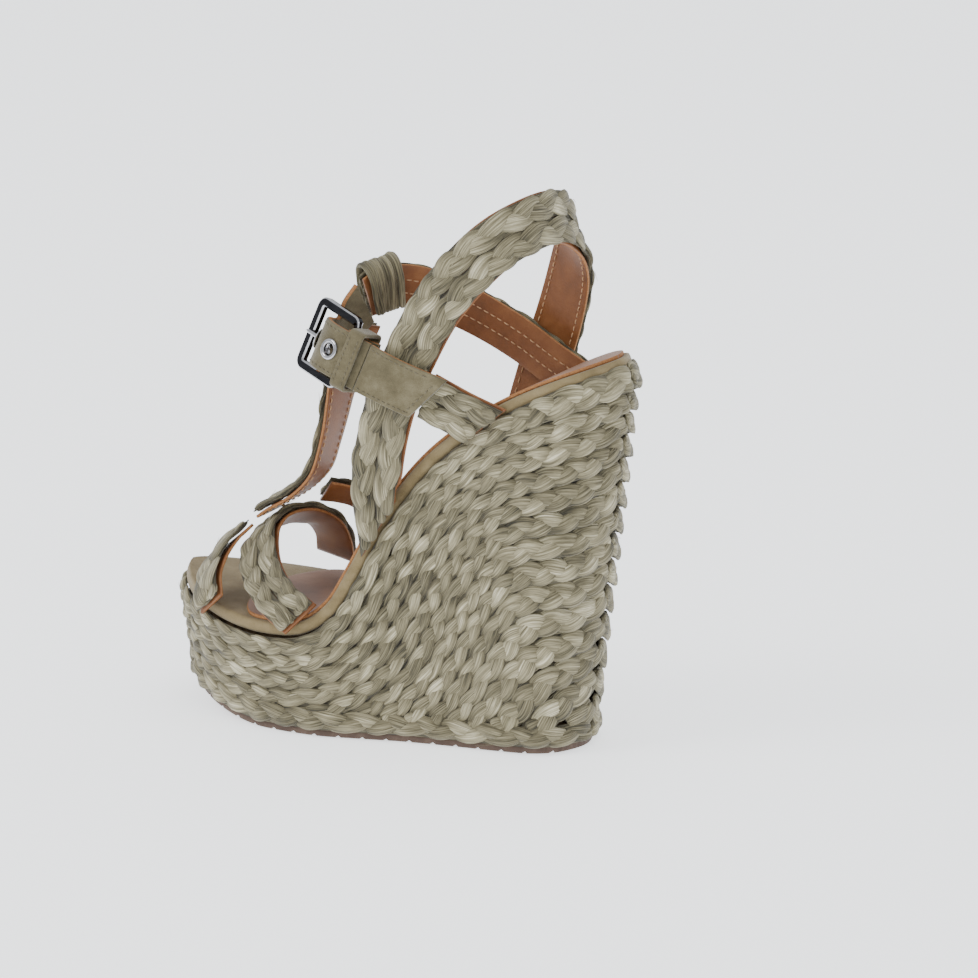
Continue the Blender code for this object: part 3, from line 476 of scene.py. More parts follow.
class Finish:
    """Builds a procedural material step by step."""

    def __init__(self, name, roughness, metallic=0.0, sheen=0.0, specular=0.5, coat=0.0):
        self.material = bpy.data.materials.new(name)
        self.material.use_nodes = True
        self.tree = self.material.node_tree
        self.shader = self.tree.nodes["Principled BSDF"]
        self.set("Roughness", roughness)
        self.set("Metallic", metallic)
        self.set("Sheen Weight", sheen)
        self.set("Specular IOR Level", specular)
        self.set("Coat Weight", coat)

    def set(self, socket, value):
        self.shader.inputs[socket].default_value = value

    def link(self, a, b):
        self.tree.links.new(a, b)

    def coordinates(self, kind, scale):
        """Fibre coordinates in centimetres, or object coordinates in metres."""
        if kind == "fibre":
            source = node(self.tree, "ShaderNodeUVMap", uv_map="fibre").outputs["UV"]
        else:
            source = node(self.tree, "ShaderNodeTexCoord").outputs["Object"]
        mapping = node(self.tree, "ShaderNodeMapping")
        mapping.inputs["Scale"].default_value = scale
        self.link(source, mapping.inputs["Vector"])
        return mapping.outputs["Vector"]

    def noise(self, kind, scale, detail, rough):
        made = node(self.tree, "ShaderNodeTexNoise")
        made.inputs["Scale"].default_value = 1.0
        made.inputs["Detail"].default_value = detail
        made.inputs["Roughness"].default_value = rough
        self.link(self.coordinates(kind, scale), made.inputs["Vector"])
        return made.outputs["Fac"]

    def voronoi(self, kind, scale):
        made = node(self.tree, "ShaderNodeTexVoronoi")
        made.inputs["Scale"].default_value = 1.0
        self.link(self.coordinates(kind, scale), made.inputs["Vector"])
        return made.outputs["Distance"]

    def tone(self):
        made = node(self.tree, "ShaderNodeAttribute")
        made.attribute_name = "tone"
        return made.outputs["Fac"]

    def sum(self, terms, base=0.5):
        """base plus each (output, weight) or (output, weight, middle) as weight * (output - middle)."""
        total = None
        for output, weight, *middle in terms:
            made = node(self.tree, "ShaderNodeMath", operation="MULTIPLY_ADD")
            self.link(output, made.inputs[0])
            made.inputs[1].default_value = weight
            shift = -weight * (middle[0] if middle else 0.5)
            made.inputs[2].default_value = shift + (base if total is None else 0.0)
            if total is not None:
                added = node(self.tree, "ShaderNodeMath", operation="ADD")
                self.link(total, added.inputs[0])
                self.link(made.outputs[0], added.inputs[1])
                made = added
            total = made.outputs[0]
        return total

    def ramp(self, value, stops):
        made = node(self.tree, "ShaderNodeValToRGB")
        elements = made.color_ramp.elements
        while len(elements) < len(stops):
            elements.new(0.5)
        for element, (at, colour) in zip(elements, stops):
            element.position = at
            element.color = (*linear(colour), 1.0)
        self.link(value, made.inputs["Fac"])
        self.link(made.outputs["Color"], self.shader.inputs["Base Color"])
        return made.outputs["Color"]

    def bump(self, value, distance, strength):
        made = node(self.tree, "ShaderNodeBump")
        made.inputs["Strength"].default_value = strength
        made.inputs["Distance"].default_value = distance
        self.link(value, made.inputs["Height"])
        self.link(made.outputs["Normal"], self.shader.inputs["Normal"])

    def roughness(self, value, low, high):
        made = node(self.tree, "ShaderNodeMapRange")
        made.inputs["To Min"].default_value = low
        made.inputs["To Max"].default_value = high
        self.link(value, made.inputs["Value"])
        self.link(made.outputs["Result"], self.shader.inputs["Roughness"])


def linear(colour):
    """Linear values of an 8-bit display colour."""
    values = []
    for c in colour:
        c = c / 255
        values.append(c / 12.92 if c <= 0.04045 else ((c + 0.055) / 1.055) ** 2.4)
    return tuple(values)


def raffia_finish():
    f = Finish("raffia_fibre", 0.62, sheen=0.12, specular=0.35)
    fine = f.noise("fibre", (0.8, 30.0, 1.0), 4.0, 0.65)
    broad = f.noise("fibre", (0.35, 7.0, 1.0), 2.0, 0.5)
    patch = f.noise("object", (60.0, 60.0, 60.0), 2.0, 0.5)
    # the tone attribute holds random tone and, on plait strands, painted shade where they dip under the
    # others
    value = f.sum([(f.tone(), 0.95), (fine, 1.75), (broad, 0.70), (patch, 0.30)], 0.47)
    f.ramp(value, [(0.0, (36, 33, 23)), (0.28, (86, 80, 58)), (0.58, (134, 126, 98)),
                   (0.82, (176, 168, 138)), (1.0, (216, 208, 180))])
    f.bump(f.sum([(fine, 1.0), (broad, 0.6)]), 0.0007, 0.8)
    f.roughness(fine, 0.48, 0.78)
    return f.material


def suede_finish(name, dark, middle, light):
    f = Finish(name, 0.95, sheen=0.35, specular=0.15)
    f.set("Sheen Roughness", 0.45)
    nap = f.noise("object", (2600.0, 2600.0, 2600.0), 3.0, 0.7)
    cloud = f.noise("object", (140.0, 140.0, 190.0), 4.0, 0.6)
    wear = f.tone()
    value = f.sum([(cloud, 1.1), (nap, 0.55), (wear, 0.6)])
    f.ramp(value, [(0.0, dark), (0.5, middle), (1.0, light)])
    f.bump(f.sum([(nap, 1.0), (cloud, 0.35)]), 0.00035, 0.5)
    return f.material


def leather_finish(name, dark, middle, light, rough=0.45):
    f = Finish(name, rough, specular=0.4, coat=0.06)
    f.set("Coat Roughness", 0.4)
    grain = f.voronoi("object", (1500.0, 1500.0, 1500.0))
    fine = f.noise("object", (2400.0, 2400.0, 2400.0), 2.0, 0.6)
    cloud = f.noise("object", (90.0, 90.0, 90.0), 4.0, 0.6)
    value = f.sum([(cloud, 1.1), (fine, 0.25), (f.tone(), 0.7)])
    f.ramp(value, [(0.0, dark), (0.5, middle), (1.0, light)])
    f.bump(f.sum([(grain, 0.7), (fine, 0.4), (cloud, 0.4)]), 0.00018, 0.45)
    f.roughness(cloud, rough - 0.07, rough + 0.12)
    return f.material


def raw_edge_finish():
    f = Finish("raw_leather_edge", 0.7, specular=0.3)
    fine = f.noise("object", (1500.0, 1500.0, 1500.0), 3.0, 0.65)
    value = f.sum([(fine, 1.4)])
    f.ramp(value, [(0.0, (112, 74, 44)), (0.5, (158, 108, 66)), (1.0, (192, 142, 94))])
    f.bump(fine, 0.0002, 0.5)
    return f.material


def thread_finish(name, dark, light):
    f = Finish(name, 0.7, sheen=0.2, specular=0.3)
    twist = f.noise("fibre", (60.0, 20.0, 1.0), 2.0, 0.6)
    f.ramp(f.sum([(twist, 1.4)]), [(0.0, dark), (1.0, light)])
    f.bump(twist, 0.0001, 0.4)
    return f.material


def rubber_finish():
    f = Finish("outsole_rubber", 0.6, specular=0.35)
    fine = f.noise("object", (1800.0, 1800.0, 1800.0), 3.0, 0.6)
    scuff = f.noise("object", (120.0, 500.0, 160.0), 4.0, 0.65)
    f.ramp(f.sum([(scuff, 1.2), (fine, 0.4), (f.tone(), 0.6)]),
           [(0.0, (62, 47, 40)), (0.5, (88, 70, 59)), (1.0, (122, 102, 88))])
    f.bump(f.sum([(fine, 1.0), (scuff, 0.5)]), 0.0002, 0.4)
    return f.material


def metal_finish(name, low, high, rough):
    f = Finish(name, rough, metallic=1.0)
    swirl = f.noise("object", (260.0, 260.0, 900.0), 4.0, 0.6)
    marks = f.noise("object", (3000.0, 600.0, 3000.0), 2.0, 0.5)
    f.ramp(f.sum([(swirl, 0.8)]), [(0.2, low), (0.8, high)])
    f.roughness(f.sum([(marks, 0.8), (swirl, 0.4)]), max(0.02, rough - 0.05), rough + 0.08)
    return f.material


def core_finish():
    f = Finish("cork_core", 0.9, specular=0.2)
    grain = f.voronoi("object", (420.0, 420.0, 420.0))
    fine = f.noise("object", (900.0, 900.0, 900.0), 3.0, 0.6)
    f.ramp(f.sum([(grain, 0.9, 0.4), (fine, 0.5)], 0.4), [(0.0, (52, 42, 30)), (1.0, (112, 92, 66))])
    f.bump(fine, 0.0004, 0.6)
    return f.material


RAFFIA = raffia_finish()
SUEDE = suede_finish("khaki_suede", (70, 64, 45), (102, 94, 71), (134, 126, 100))
BOARD_SUEDE = suede_finish("footbed_suede", (100, 86, 58), (133, 117, 84), (156, 141, 108))
TAN = leather_finish("tan_lining", (86, 51, 26), (126, 78, 42), (158, 106, 64))
SOCK = leather_finish("sock_leather", (112, 84, 68), (146, 112, 92), (172, 138, 116), 0.5)
RAW_EDGE = raw_edge_finish()
DARK_THREAD = thread_finish("khaki_thread", (70, 64, 48), (112, 104, 80))
TAN_THREAD = thread_finish("tan_thread", (168, 124, 86), (214, 176, 136))
RUBBER = rubber_finish()
METAL = metal_finish("polished_nickel", (150, 150, 154), (205, 205, 208), 0.09)
METAL_FACE = metal_finish("dark_nickel_face", (30, 30, 33), (58, 58, 62), 0.08)
CORE = core_finish()


# ------------------------------------------------ wedge wrap
def unrolled():
    """Arrays over fine steps of u: u, length along the side, rim height, foxing top and rise to the peak."""
    us = np.linspace(0, TURNS, 1300)
    top, bottom = curve(RIM_LOOP, us, True), curve(SOLE_LOOP, us, True)
    along = lengths(np.concatenate([(top + bottom) / 2, np.zeros((len(us), 1))], axis=1))
    rim = rim_height(top[:, 0])
    foot = ground(bottom[:, 0])
    lift = np.maximum(seam_rise(along, rim), seam_rise(along[-1] - along, rim))
    return us, along, rim, foot + SOLE_THICKNESS + FOXING_HEIGHT + 2 * GAP, lift


def seam_rise(away, rim):
    """How far the rim's slope, carried on straight to the seam, rises above the rim on one side."""
    order = np.argsort(away)
    far, near = np.interp((SEAM_REACH + 4, SEAM_REACH - 4), away[order], rim[order])
    start = np.interp(SEAM_REACH, away[order], rim[order])
    peak = start + (far - near) / 8 * (away - SEAM_REACH)
    return np.where(away < SEAM_REACH, np.maximum(0.0, peak - rim), 0.0)


def row_edge(base, distance):
    """An offset of the rim; near the back seam it rises to a peak and the rows spread apart."""
    _, along, rim, _, lift = base
    top = rim + lift * np.clip(distance / SEAM_GATHER, 0.0, 1.0)
    run, rise = np.gradient(along), np.gradient(top)
    size = np.hypot(run, rise)
    place, height = along + distance * rise / size, top - distance * run / size
    back = np.minimum(place, along[-1] - place)
    share = np.clip(1 - back / SEAM_SPREAD_REACH, 0.0, 1.0)
    share = share * share * (3 - 2 * share)
    under = np.interp(place, along, rim) - height
    return place, height - under * SEAM_SPREAD * share


def longest_run(flags):
    inside = np.flatnonzero(flags)
    pieces = np.split(inside, np.flatnonzero(np.diff(inside) > 1) + 1)
    longest = max(pieces, key=len)
    return int(longest[0]), int(longest[-1])


FOOT_TUCK = 2.6
ROW_OVERLAP = 1.19
ROW_LEAST = 2.9
ROW_MOST = 5.2
HEEL_COVER = 2.4
HEEL_COVER_REACH = 85.0


def row_run(base, place, height, half):
    """Where a row lies on the wedge's side: half 0 is the outer side, 1 the inner side, None both."""
    us, along, _, foot, _ = base
    toe = len(us) // 2
    flags = (np.gradient(place) > 0) & (place > 0.4) & (place < along[-1] - 0.4)
    if half is not None:
        flags &= height > np.interp(place, along, foot) - FOOT_TUCK
        flags[toe * (1 - half):toe * (2 - half)] = False
    return longest_run(flags)


def row_track(base, distances, half):
    """The course of one braid row between two distances from the rim, on one side or all round."""
    us, along, _, _, _ = base
    near, far = (row_edge(base, distance) for distance in distances)
    centre = row_edge(base, (distances[0] + distances[1]) / 2)
    first, last = row_run(base, *centre, half)
    counts = np.arange(len(us))
    index = np.linspace(first, last, max(8, int((along[last] - along[first]) / 1.2)))

    def on_side(edge, depth):
        place = np.clip(np.interp(index, counts, edge[0]), 0.3, along[-1] - 0.3)
        return side_point(np.interp(place, along, us), np.interp(index, counts, edge[1]), depth)

    middle = on_side(centre, 0.0)
    outward = unit(middle - on_side(centre, 2.0))
    across = unit(np.cross(unit(np.gradient(middle, axis=0)), outward))
    gap = np.sum((on_side(far, 0.0) - on_side(near, 0.0)) * across, axis=1)
    half_width = np.clip(np.abs(gap) / 2 * ROW_OVERLAP, ROW_LEAST, ROW_MOST)
    return Track(middle, across * np.sign(gap.mean()), outward, half_width)


def cover(base, k):
    """The first row climbs over the footbed's edge near the back of the heel."""
    along = base[1]
    back = np.clip(1 - np.minimum(along, along[-1] - along) / HEEL_COVER_REACH, 0.0, 1.0)
    return HEEL_COVER * back * back * (3 - 2 * back) if k == 0 else 0.0


def make_wrap():
    base = unrolled()
    half_width = (BRAID_PITCH - BRAID_GAP) / 2
    for k in range(FULL_ROWS + SIDE_ROWS):
        middle = BRAID_PITCH * (k + 0.5) + 0.1
        for suffix, half in [("", None)] if k < FULL_ROWS else [("_outer", 0), ("_inner", 1)]:
            name = f"wrap_row_{k + 1:02d}{suffix}"
            rng = np.random.default_rng(100 + 2 * k + (half or 0))
            track = row_track(base, (middle - half_width - cover(base, k), middle + half_width), half)
            shape = Shape()
            plait(shape, track, rng, 33.0 if half is None else 31.0)
            stray_fibres(shape, track, rng, 38.0, 0.35)
            shape.finish(f"{name}_raffia", [RAFFIA], name, slot="raffia")


def make_foxing():
    us = np.linspace(0.03, TURNS - 0.03, 400)
    bottom = curve(SOLE_LOOP, us, True)
    low = ground(bottom[:, 0]) + SOLE_THICKNESS + GAP
    middle = side_point(us, low + FOXING_HEIGHT / 2 + 0.35, -0.9)
    inner = side_point(us, low + FOXING_HEIGHT / 2 + 0.35, 1.0)
    outward = unit(middle - inner)
    along = unit(np.gradient(middle, axis=0))
    across = unit(np.cross(outward, along))
    track = Track(middle, across, outward, np.full(len(us), FOXING_HEIGHT / 2 + 0.65))
    shape = Shape()
    rng = np.random.default_rng(77)
    plait(shape, track, rng, 38.0, rise=0.8, thick=1.4, lift=-1.9)
    stray_fibres(shape, track, rng, 45.0, 0.1)
    shape.finish("foxing_braid_raffia", [RAFFIA], "foxing_braid", slot="raffia")


# ------------------------------------------------ straps
def strap_frames(path, count):
    """Evenly spaced places, along, across and outward directions."""
    rows = spread(path, count)
    along = unit(np.gradient(rows[:, :3], axis=0))
    outward = rows[:, 3:6]
    outward = unit(outward - along * np.sum(outward * along, axis=1)[:, None])
    return [rows[:, :3], along, np.cross(outward, along), outward]


def leaned(frames, shear, reach):
    """Width directions that lean along the strap at its slanted ends."""
    place, along, side, _ = frames
    run = lengths(place)
    lean = np.zeros(len(run))
    for amount, away in ((shear[0], run), (shear[1], run[-1] - run)):
        lean += amount * np.maximum(0.0, 1 - away / max(0.1, 1.3 * reach * abs(amount)))
    return side + along * lean[:, None]


def rounded_section(left, right, low, high, corner, across=10):
    """A flat section with rounded edges, as (width, height) points, and a flag at its raw edges."""
    points, edges = [], []
    middle, half = (low + high) / 2, (high - low) / 2
    left, right = left + corner, right - corner
    for start, end, level, angles, raw in ((left, right, low, (-60, -25, 25, 60), -25),
                                           (right, left, high, (120, 155, 205, 240), 205)):
        points += [(w, level) for w in np.linspace(start, end, across)]
        edges += [0] * across
        for angle in angles:
            a = math.radians(angle)
            points.append((end + corner * math.cos(a), middle + half * math.sin(a) / 0.95))
            edges.append(int(angle == raw))
    return np.array(points), np.array(edges)


def edge_slots(edges):
    """Slot 1 for the faces beside a raw edge, slot 0 for the rest."""
    return (np.maximum(edges, np.roll(edges, -1)) > 0).astype(int)


def sweep(shape, frames, across_dir, section, edges, scale=None, tone=0.5):
    """Sweep a section along frames; edge points take the edge finish."""
    place, _, _, outward = frames
    scale = np.ones(len(place)) if scale is None else scale
    w = section[None, :, 0] * scale[:, None]
    t = np.broadcast_to(section[None, :, 1], w.shape)
    rings = place[:, None] + across_dir[:, None] * w[..., None] + outward[:, None] * t[..., None]
    shape.rings(rings, tone=tone, slot=edge_slots(edges))


PLAIT_TOP = 4.55
STITCH_BOW = np.array([-0.5, 0.55, 0.8, 0.55, -0.5])
STITCH_TAPER = np.array([0.6, 1.0, 1.0, 1.0, 0.6])


def stitches(shape, frames, across_dir, lateral, height, slot, pitch=3.0, length=2.1, radius=0.26,
             ends=(1.5, 1.5), scale=None):
    """A row of short raised stitches that follow a strap at one place across it."""
    place, _, _, outward = frames
    s = lengths(place)
    scale = np.ones(len(s)) if scale is None else scale
    outside = 1.0 if height > 0.5 else -1.0
    at = ends[0]
    while at + length < s[-1] - ends[1]:
        run = at + np.linspace(0, 1, 5) * length
        pick = [np.stack([np.interp(run, s, a[:, k]) for k in range(3)], axis=1) for a in
                (place, across_dir, outward)]
        wide = np.interp(run, s, scale) * lateral
        bow = height + STITCH_BOW * radius * outside
        points = pick[0] + pick[1] * wide[:, None] + pick[2] * bow[:, None]
        shape.rings(round_tube(points, radius * STITCH_TAPER, pick[2][0], 6), slot=slot)
        at += pitch


def strap_scale(count, least, share):
    """Widths that narrow to least over the given share of the length at both ends."""
    t = np.linspace(0, 1, count)
    return least + (1 - least) * np.minimum(1.0, np.minimum(t / share, (1 - t) / share))


def make_strap(name, path, width, seed, shear=(0.0, 0.0), narrow=None, plaits=2, period=37.0, rows=()):
    """A leather lining with one or two plaits on it; rows are the places of its seams across it."""
    length = lengths(spread(path, 200))[-1]
    count = max(30, int(length / 1.3))
    frames = strap_frames(path, count)
    half = width / 2
    lean = leaned(frames, shear, half)
    scale = strap_scale(count, *narrow) if narrow else np.ones(count)
    lining = Shape()
    section, edges = rounded_section(-half - 0.15, half + 0.15, 0.0, LINING, 0.5)
    rng = np.random.default_rng(seed)
    tone = 0.5 + 0.12 * wander(rng, lengths(frames[0]), 15.0)
    sweep(lining, frames, lean, section, edges, scale, tone=tone)
    for lateral in rows:
        stitches(lining, frames, lean, lateral, -0.02, 2, scale=scale)
    finishes = [TAN, RAW_EDGE, TAN_THREAD]
    lining.finish(f"{name}_lining_leather", finishes, f"{name}_lining", slot="lining_leather")
    sides = [("_plait_a", half / 2, half / 2), ("_plait_b", -half / 2, half / 2)]
    if plaits == 1:
        sides = [("_plait", 0.0, half)]
    place, _, _, outward = frames
    for suffix, centre, reach in sides:
        middle = place + lean * (centre * scale)[:, None] + outward * PLAIT_TOP
        track = Track(middle, lean, outward, reach * scale)
        shape = Shape()
        plait(shape, track, rng, period, rise=0.55)
        stray_fibres(shape, track, rng, 22.0, 0.3)
        shape.finish(f"{name}{suffix}_raffia", [RAFFIA], f"{name}{suffix}", slot="raffia")


def make_straps():
    make_strap("back_loop", BACK_LOOP, 20.0, 11, (-1.5, 1.9), (0.7, 0.09), rows=(-7.6, 7.6))
    make_strap("ankle_outer", ANKLE_OUTER, 18.0, 12, (0.0, 0.65))
    make_strap("ankle_front", ANKLE_FRONT, 17.0, 13, (-0.75, 0.0), rows=(-2.6, 2.6))
    make_strap("t_strap", T_STRAP, 17.0, 14, rows=(-6.4, 6.4))
    make_strap("vamp_rear", VAMP_REAR, 16.0, 15, (0.2, 0.0))
    make_strap("vamp_front", VAMP_FRONT_OUTER, 14.0, 16, plaits=1, period=44.0)
    make_strap("vamp_inner", VAMP_REAR_INNER, 13.0, 17, plaits=1, period=36.0)


LOOP_STRANDS = 8
LOOP_HALF = 7.6


def make_t_loop():
    """Parallel strands of the T-strap's end, folded over the ankle strap."""
    place, along, side, outward = strap_frames(ANKLE_FRONT, 40)
    i = int(np.argmin(np.linalg.norm(place - LOOP_CENTRE, axis=1)))
    centre, across, up, out = place[i], along[i], side[i], outward[i]
    rows = spread([(a, b, 0.0) for a, b in LOOP_ROUTE], 60)
    points = centre + out[None] * rows[:, :1] + up[None] * rows[:, 1:2]
    along = unit(np.gradient(points, axis=0))
    sides = np.repeat(across[None], len(points), axis=0)
    outs = unit(np.cross(along, sides))
    track = Track(points, sides, outs, np.full(len(points), LOOP_HALF), step=0.9)
    shape = Shape()
    rng = np.random.default_rng(31)
    s = track.s
    for k in range(LOOP_STRANDS):
        t = (k - (LOOP_STRANDS - 1) / 2) / ((LOOP_STRANDS - 1) / 2)
        gather = 1.0 - 0.18 * np.clip((s / s[-1] - 0.6) / 0.4, 0, 1)
        lateral = track.half * (0.80 * t + 0.05 * wander(rng, s, 8.0)) * gather
        height = 0.35 - 0.5 * t * t + 0.35 * wander(rng, s, 7.0) + (0.3 if k % 2 else 0.0)
        wide = np.full(len(s), 1.35) * (1 + 0.12 * wander(rng, s, 9.0))
        deep = np.full(len(s), 0.95) * (1 + 0.12 * wander(rng, s, 9.0))
        shade = 0.5 + 0.12 * rng.uniform(-1, 1) + 0.15 * wander(rng, s, 8.0)
        lay_strand(shape, track, lateral, height, wide, deep, shade, rng)
    shape.finish("t_strap_loop_raffia", [RAFFIA], "t_strap_loop", slot="raffia")


# ------------------------------------------------ footbed, sock and sole
def rim_stations(front, count=120):
    """Stations from the heel to the front, closer together at both ends."""
    t = np.linspace(0, 1, count)
    eased = 0.5 - 0.5 * np.cos(np.pi * t)
    return 0.06 + (front - 0.12) * (0.55 * eased + 0.45 * t)


def board_ring(v, inset, low, high, corner, narrow, across):
    """A closed ring across the footbed at station v, with rounded edges."""
    near, far = over_rim(v, inset, 0.0)[0], over_rim(TURNS - v, inset, 0.0)[0]
    up = over_rim(v, inset, 1.0)[0] - near
    middle, arm = (near + far) / 2, (far - near) / 2 * narrow
    half = np.linalg.norm(arm)
    inner = max(0.05, 1 - corner / max(half, corner + 0.2))
    thick = (high - low) / 2
    points = []
    for side, level in ((1, low), (-1, high)):
        points += [middle + arm * w + up * level for w in np.linspace(-inner * side, inner * side, across)]
        for angle in (-60, -30, 0, 30, 60):
            a = math.radians(angle * side)
            reach = inner + (1 - inner) * math.cos(a)
            points.append(middle + arm * reach * side + up * (low + thick + thick * math.sin(a) / 0.95))
    return np.array(points)


def make_footbed():
    across = 16
    stations = rim_stations(13.0)
    rings = [board_ring(v, BOARD_INSET, BOARD_BOTTOM, BOARD_TOP, 1.3, 1.0, across) for v in stations]
    shape = Shape()
    rng = np.random.default_rng(41)
    shape.rings(np.array(rings), tone=0.5 + 0.15 * wander(rng, np.linspace(0, 200, len(stations)), 20.0))
    shape.finish("footbed_board_suede", [BOARD_SUEDE], "footbed_board", slot="suede")

    fine = np.linspace(8, 13, 600)
    front = float(fine[np.argmax(loop_point(RIM_LOOP, fine, 0.0)[:, 0] < SOCK_FRONT)])
    stations = rim_stations(front, 110)
    ahead = np.maximum(0.0, 1 - (front - stations) / 0.9)
    narrow = np.sqrt(np.maximum(0.0, 1 - ahead ** 2.2)) * 0.97 + 0.03
    low = BOARD_TOP + 0.05
    high = BOARD_TOP + GAP + SOCK_THICKNESS
    rings = np.array([board_ring(v, SOCK_INSET, low, high, 0.6, n, across) for v, n in zip(stations, narrow)])
    slots = np.zeros(rings.shape[1], int)
    slots[across - 1:across + 5] = 1
    slots[2 * across + 4:] = 1
    shape = Shape()
    tone = 0.5 + 0.2 * wander(rng, np.linspace(0, 200, len(stations)), 24.0)
    shape.rings(rings, tone=tone, slot=slots)
    shape.finish("insole_sock_leather", [SOCK, RAW_EDGE], "insole_sock", slot="sock_leather")


NOTCH_PITCH = 9.0
NOTCH_LENGTH = 1.5
NOTCH_DEPTH = 0.9
RIB_PITCH = 4.5
RIB_LENGTH = 1.3
RIB_HEIGHT = 0.35


def sole_ring(v, across):
    """A ring across the sole at station v: ribbed underside, notched edges and a flat top."""
    near = loop_point(SOLE_LOOP, np.array([v]), SOLE_INSET)[0]
    far = loop_point(SOLE_LOOP, np.array([TURNS - v]), SOLE_INSET)[0]
    x = near[0]
    base = float(ground(x))
    middle, arm = (near + far) / 2, (far - near) / 2
    half = max(np.linalg.norm(arm), 0.5)
    notch = NOTCH_DEPTH if (x % NOTCH_PITCH) < NOTCH_LENGTH and -80 < x < 74 else 0.0
    rib = RIB_HEIGHT if (x % RIB_PITCH) < RIB_LENGTH else 0.0
    points = []
    for w in np.linspace(-1, 1, across):
        lift = (0.0 if abs(w) > 0.9 else rib) + (notch if abs(w) > 0.70 else 0.0)
        points.append((*(middle + arm * (w * max(0.1, 1 - 0.5 / half))), base + lift))
    for lift in (0.4, 1.4, 2.4):
        points.append((*(middle + arm), base + max(lift, notch + 0.1 * lift)))
    for w in np.linspace(1, -1, across):
        points.append((*(middle + arm * (w * max(0.1, 1 - 0.4 / half))), base + SOLE_THICKNESS + 0.3))
    for lift in (2.4, 1.4, 0.4):
        points.append((*(middle - arm), base + max(lift, notch + 0.1 * lift)))
    return points


def make_outsole():
    """The sole, with a rounded edge, cut tread notches and a ribbed underside."""
    shape = Shape()
    shape.rings(np.array([sole_ring(v, 9) for v in rim_stations(13.0, 420)]))
    shape.finish("outsole_rubber_tread", [RUBBER], "outsole", slot="outsole_rubber", sharp=50)


# ------------------------------------------------ buckle, suede end and eyelets
def at_buckle(forward, upward, outward):
    return BAR_CENTRE + FORWARD * forward + UPWARD * upward + OUTWARD * outward


def buckle_row(place, facing):
    return (*at_buckle(*place), *(FORWARD * facing[0] + OUTWARD * facing[1]))


def rounded_rectangle(left, low, right, high, corner, steps):
    """Points round a rectangle with rounded corners, from its lower left corner."""
    points = []
    for cx, cy, start in ((left + corner, low + corner, 180), (right - corner, low + corner, 270),
                          (right - corner, high - corner, 0), (left + corner, high - corner, 90)):
        for angle in np.linspace(start, start + 90, steps):
            a = math.radians(angle)
            points.append((cx + corner * math.cos(a), cy + corner * math.sin(a)))
    return np.array(points)


def normals(route):
    """Unit directions square to a closed flat route, pointing away from its middle."""
    step = unit(np.roll(route, -1, axis=0) - np.roll(route, 1, axis=0))
    return np.stack([step[:, 1], -step[:, 0]], axis=1)


def bar_section():
    """The buckle's bevelled square section, and the slot of each of its faces."""
    half, deep, bevel = FRAME_BAR / 2, FRAME_DEPTH / 2, 0.55
    block = []
    for sx, sy in ((1, -1), (1, 1), (-1, 1), (-1, -1)):
        pair = [(half, deep - bevel), (half - bevel, deep)]
        block += [(sx * x, sy * y) for x, y in (pair if sx * sy > 0 else pair[::-1])]
    block = np.array(block)
    points, slots = [], []
    for i, point in enumerate(block):
        bevelled = i % 2 == 0
        for f in (0.0, 0.5) if bevelled else (0.0, 0.06, 0.94):
            points.append(point + (block[(i + 1) % len(block)] - point) * f)
            slots.append(0 if bevelled else 1)
    return np.array(points), np.array(slots)


def make_buckle_frame():
    half = (FRAME_WIDTH - FRAME_BAR) / 2
    front = FRAME_LENGTH - BAR_RADIUS - FRAME_BAR / 2
    path = rounded_rectangle(0.0, -half, front, half, FRAME_CORNER, 7)
    square, slots = bar_section()
    angle = np.arctan2(square[:, 1], square[:, 0])
    bar = np.stack([np.cos(angle), np.sin(angle)], axis=1) * BAR_RADIUS
    rings = []
    for point, edge in zip(path, normals(path)):
        section = bar if point[0] < 0.35 else square
        rings.append([at_buckle(point[0] + edge[0] * w, point[1] + edge[1] * w, t) for w, t in section])
    shape = Shape()
    shape.rings(np.array(rings), closed=True, slot=slots)
    shape.finish("buckle_frame_metal", [METAL, METAL_FACE], "buckle_frame", "buckle", "polished_metal", 35)


def make_prong():
    radius = BAR_RADIUS + 0.25 + PRONG_RADIUS
    points = []
    for degrees in np.linspace(370, 96, 30):
        a = math.radians(degrees)
        points.append(at_buckle(math.cos(a) * radius, 0, math.sin(a) * radius))
    for forward in np.linspace(0.5, 22.9, 22):
        points.append(at_buckle(forward, 0, radius))
    points = np.array(points)
    s = lengths(points)
    thin = PRONG_RADIUS * np.clip(0.45 + 0.55 * np.sqrt(np.clip((s[-1] - s) / 1.6, 0, 1)), 0, 1)
    shape = Shape()
    shape.rings(round_tube(points, thin, UPWARD, 16))
    shape.finish("buckle_prong_metal", [METAL], "buckle_prong", "prong", "polished_metal")


# Rows of (forward, upward, outward) from the bar, then how far the outer face looks forward and outward.
SUEDE_ROUTE = [
    ((15.2, 16.6, -13.6), (1.0, 0.0)), ((14.9, 9.0, -10.4), (1.0, 0.1)), ((13.6, 1.4, -6.8), (1.0, 0.1)),
    ((12.2, 0.0, -1.6), (0.97, 0.2)), ((11.5, 0.1, 1.9), (0.9, 0.43)), ((9.8, 0.0, 4.3), (0.7, 0.7)),
    ((6.3, 0.0, 5.5), (0.2, 0.98)), ((2.0, 0.0, 5.4), (-0.15, 1.0)), ((-3.5, 0.0, 4.3), (-0.3, 0.95)),
    ((-12.0, -0.2, 1.6), (-0.3, 0.95)),
]
SUEDE_TAIL = [(14.0, -38.9, 144.2), (24.0, -38.8, 141.0), (33.0, -38.2, 138.4)]
CHAPE_BACK = [
    ((-11.2, 0.2, -3.9), (0.4, -0.9)), ((-9.0, 0.1, -2.7), (0.4, -0.9)), ((-6.0, 0.0, -1.5), (0.2, -1.0)),
    ((-3.0, 0.0, -1.9), (-0.05, -1.0)),
]
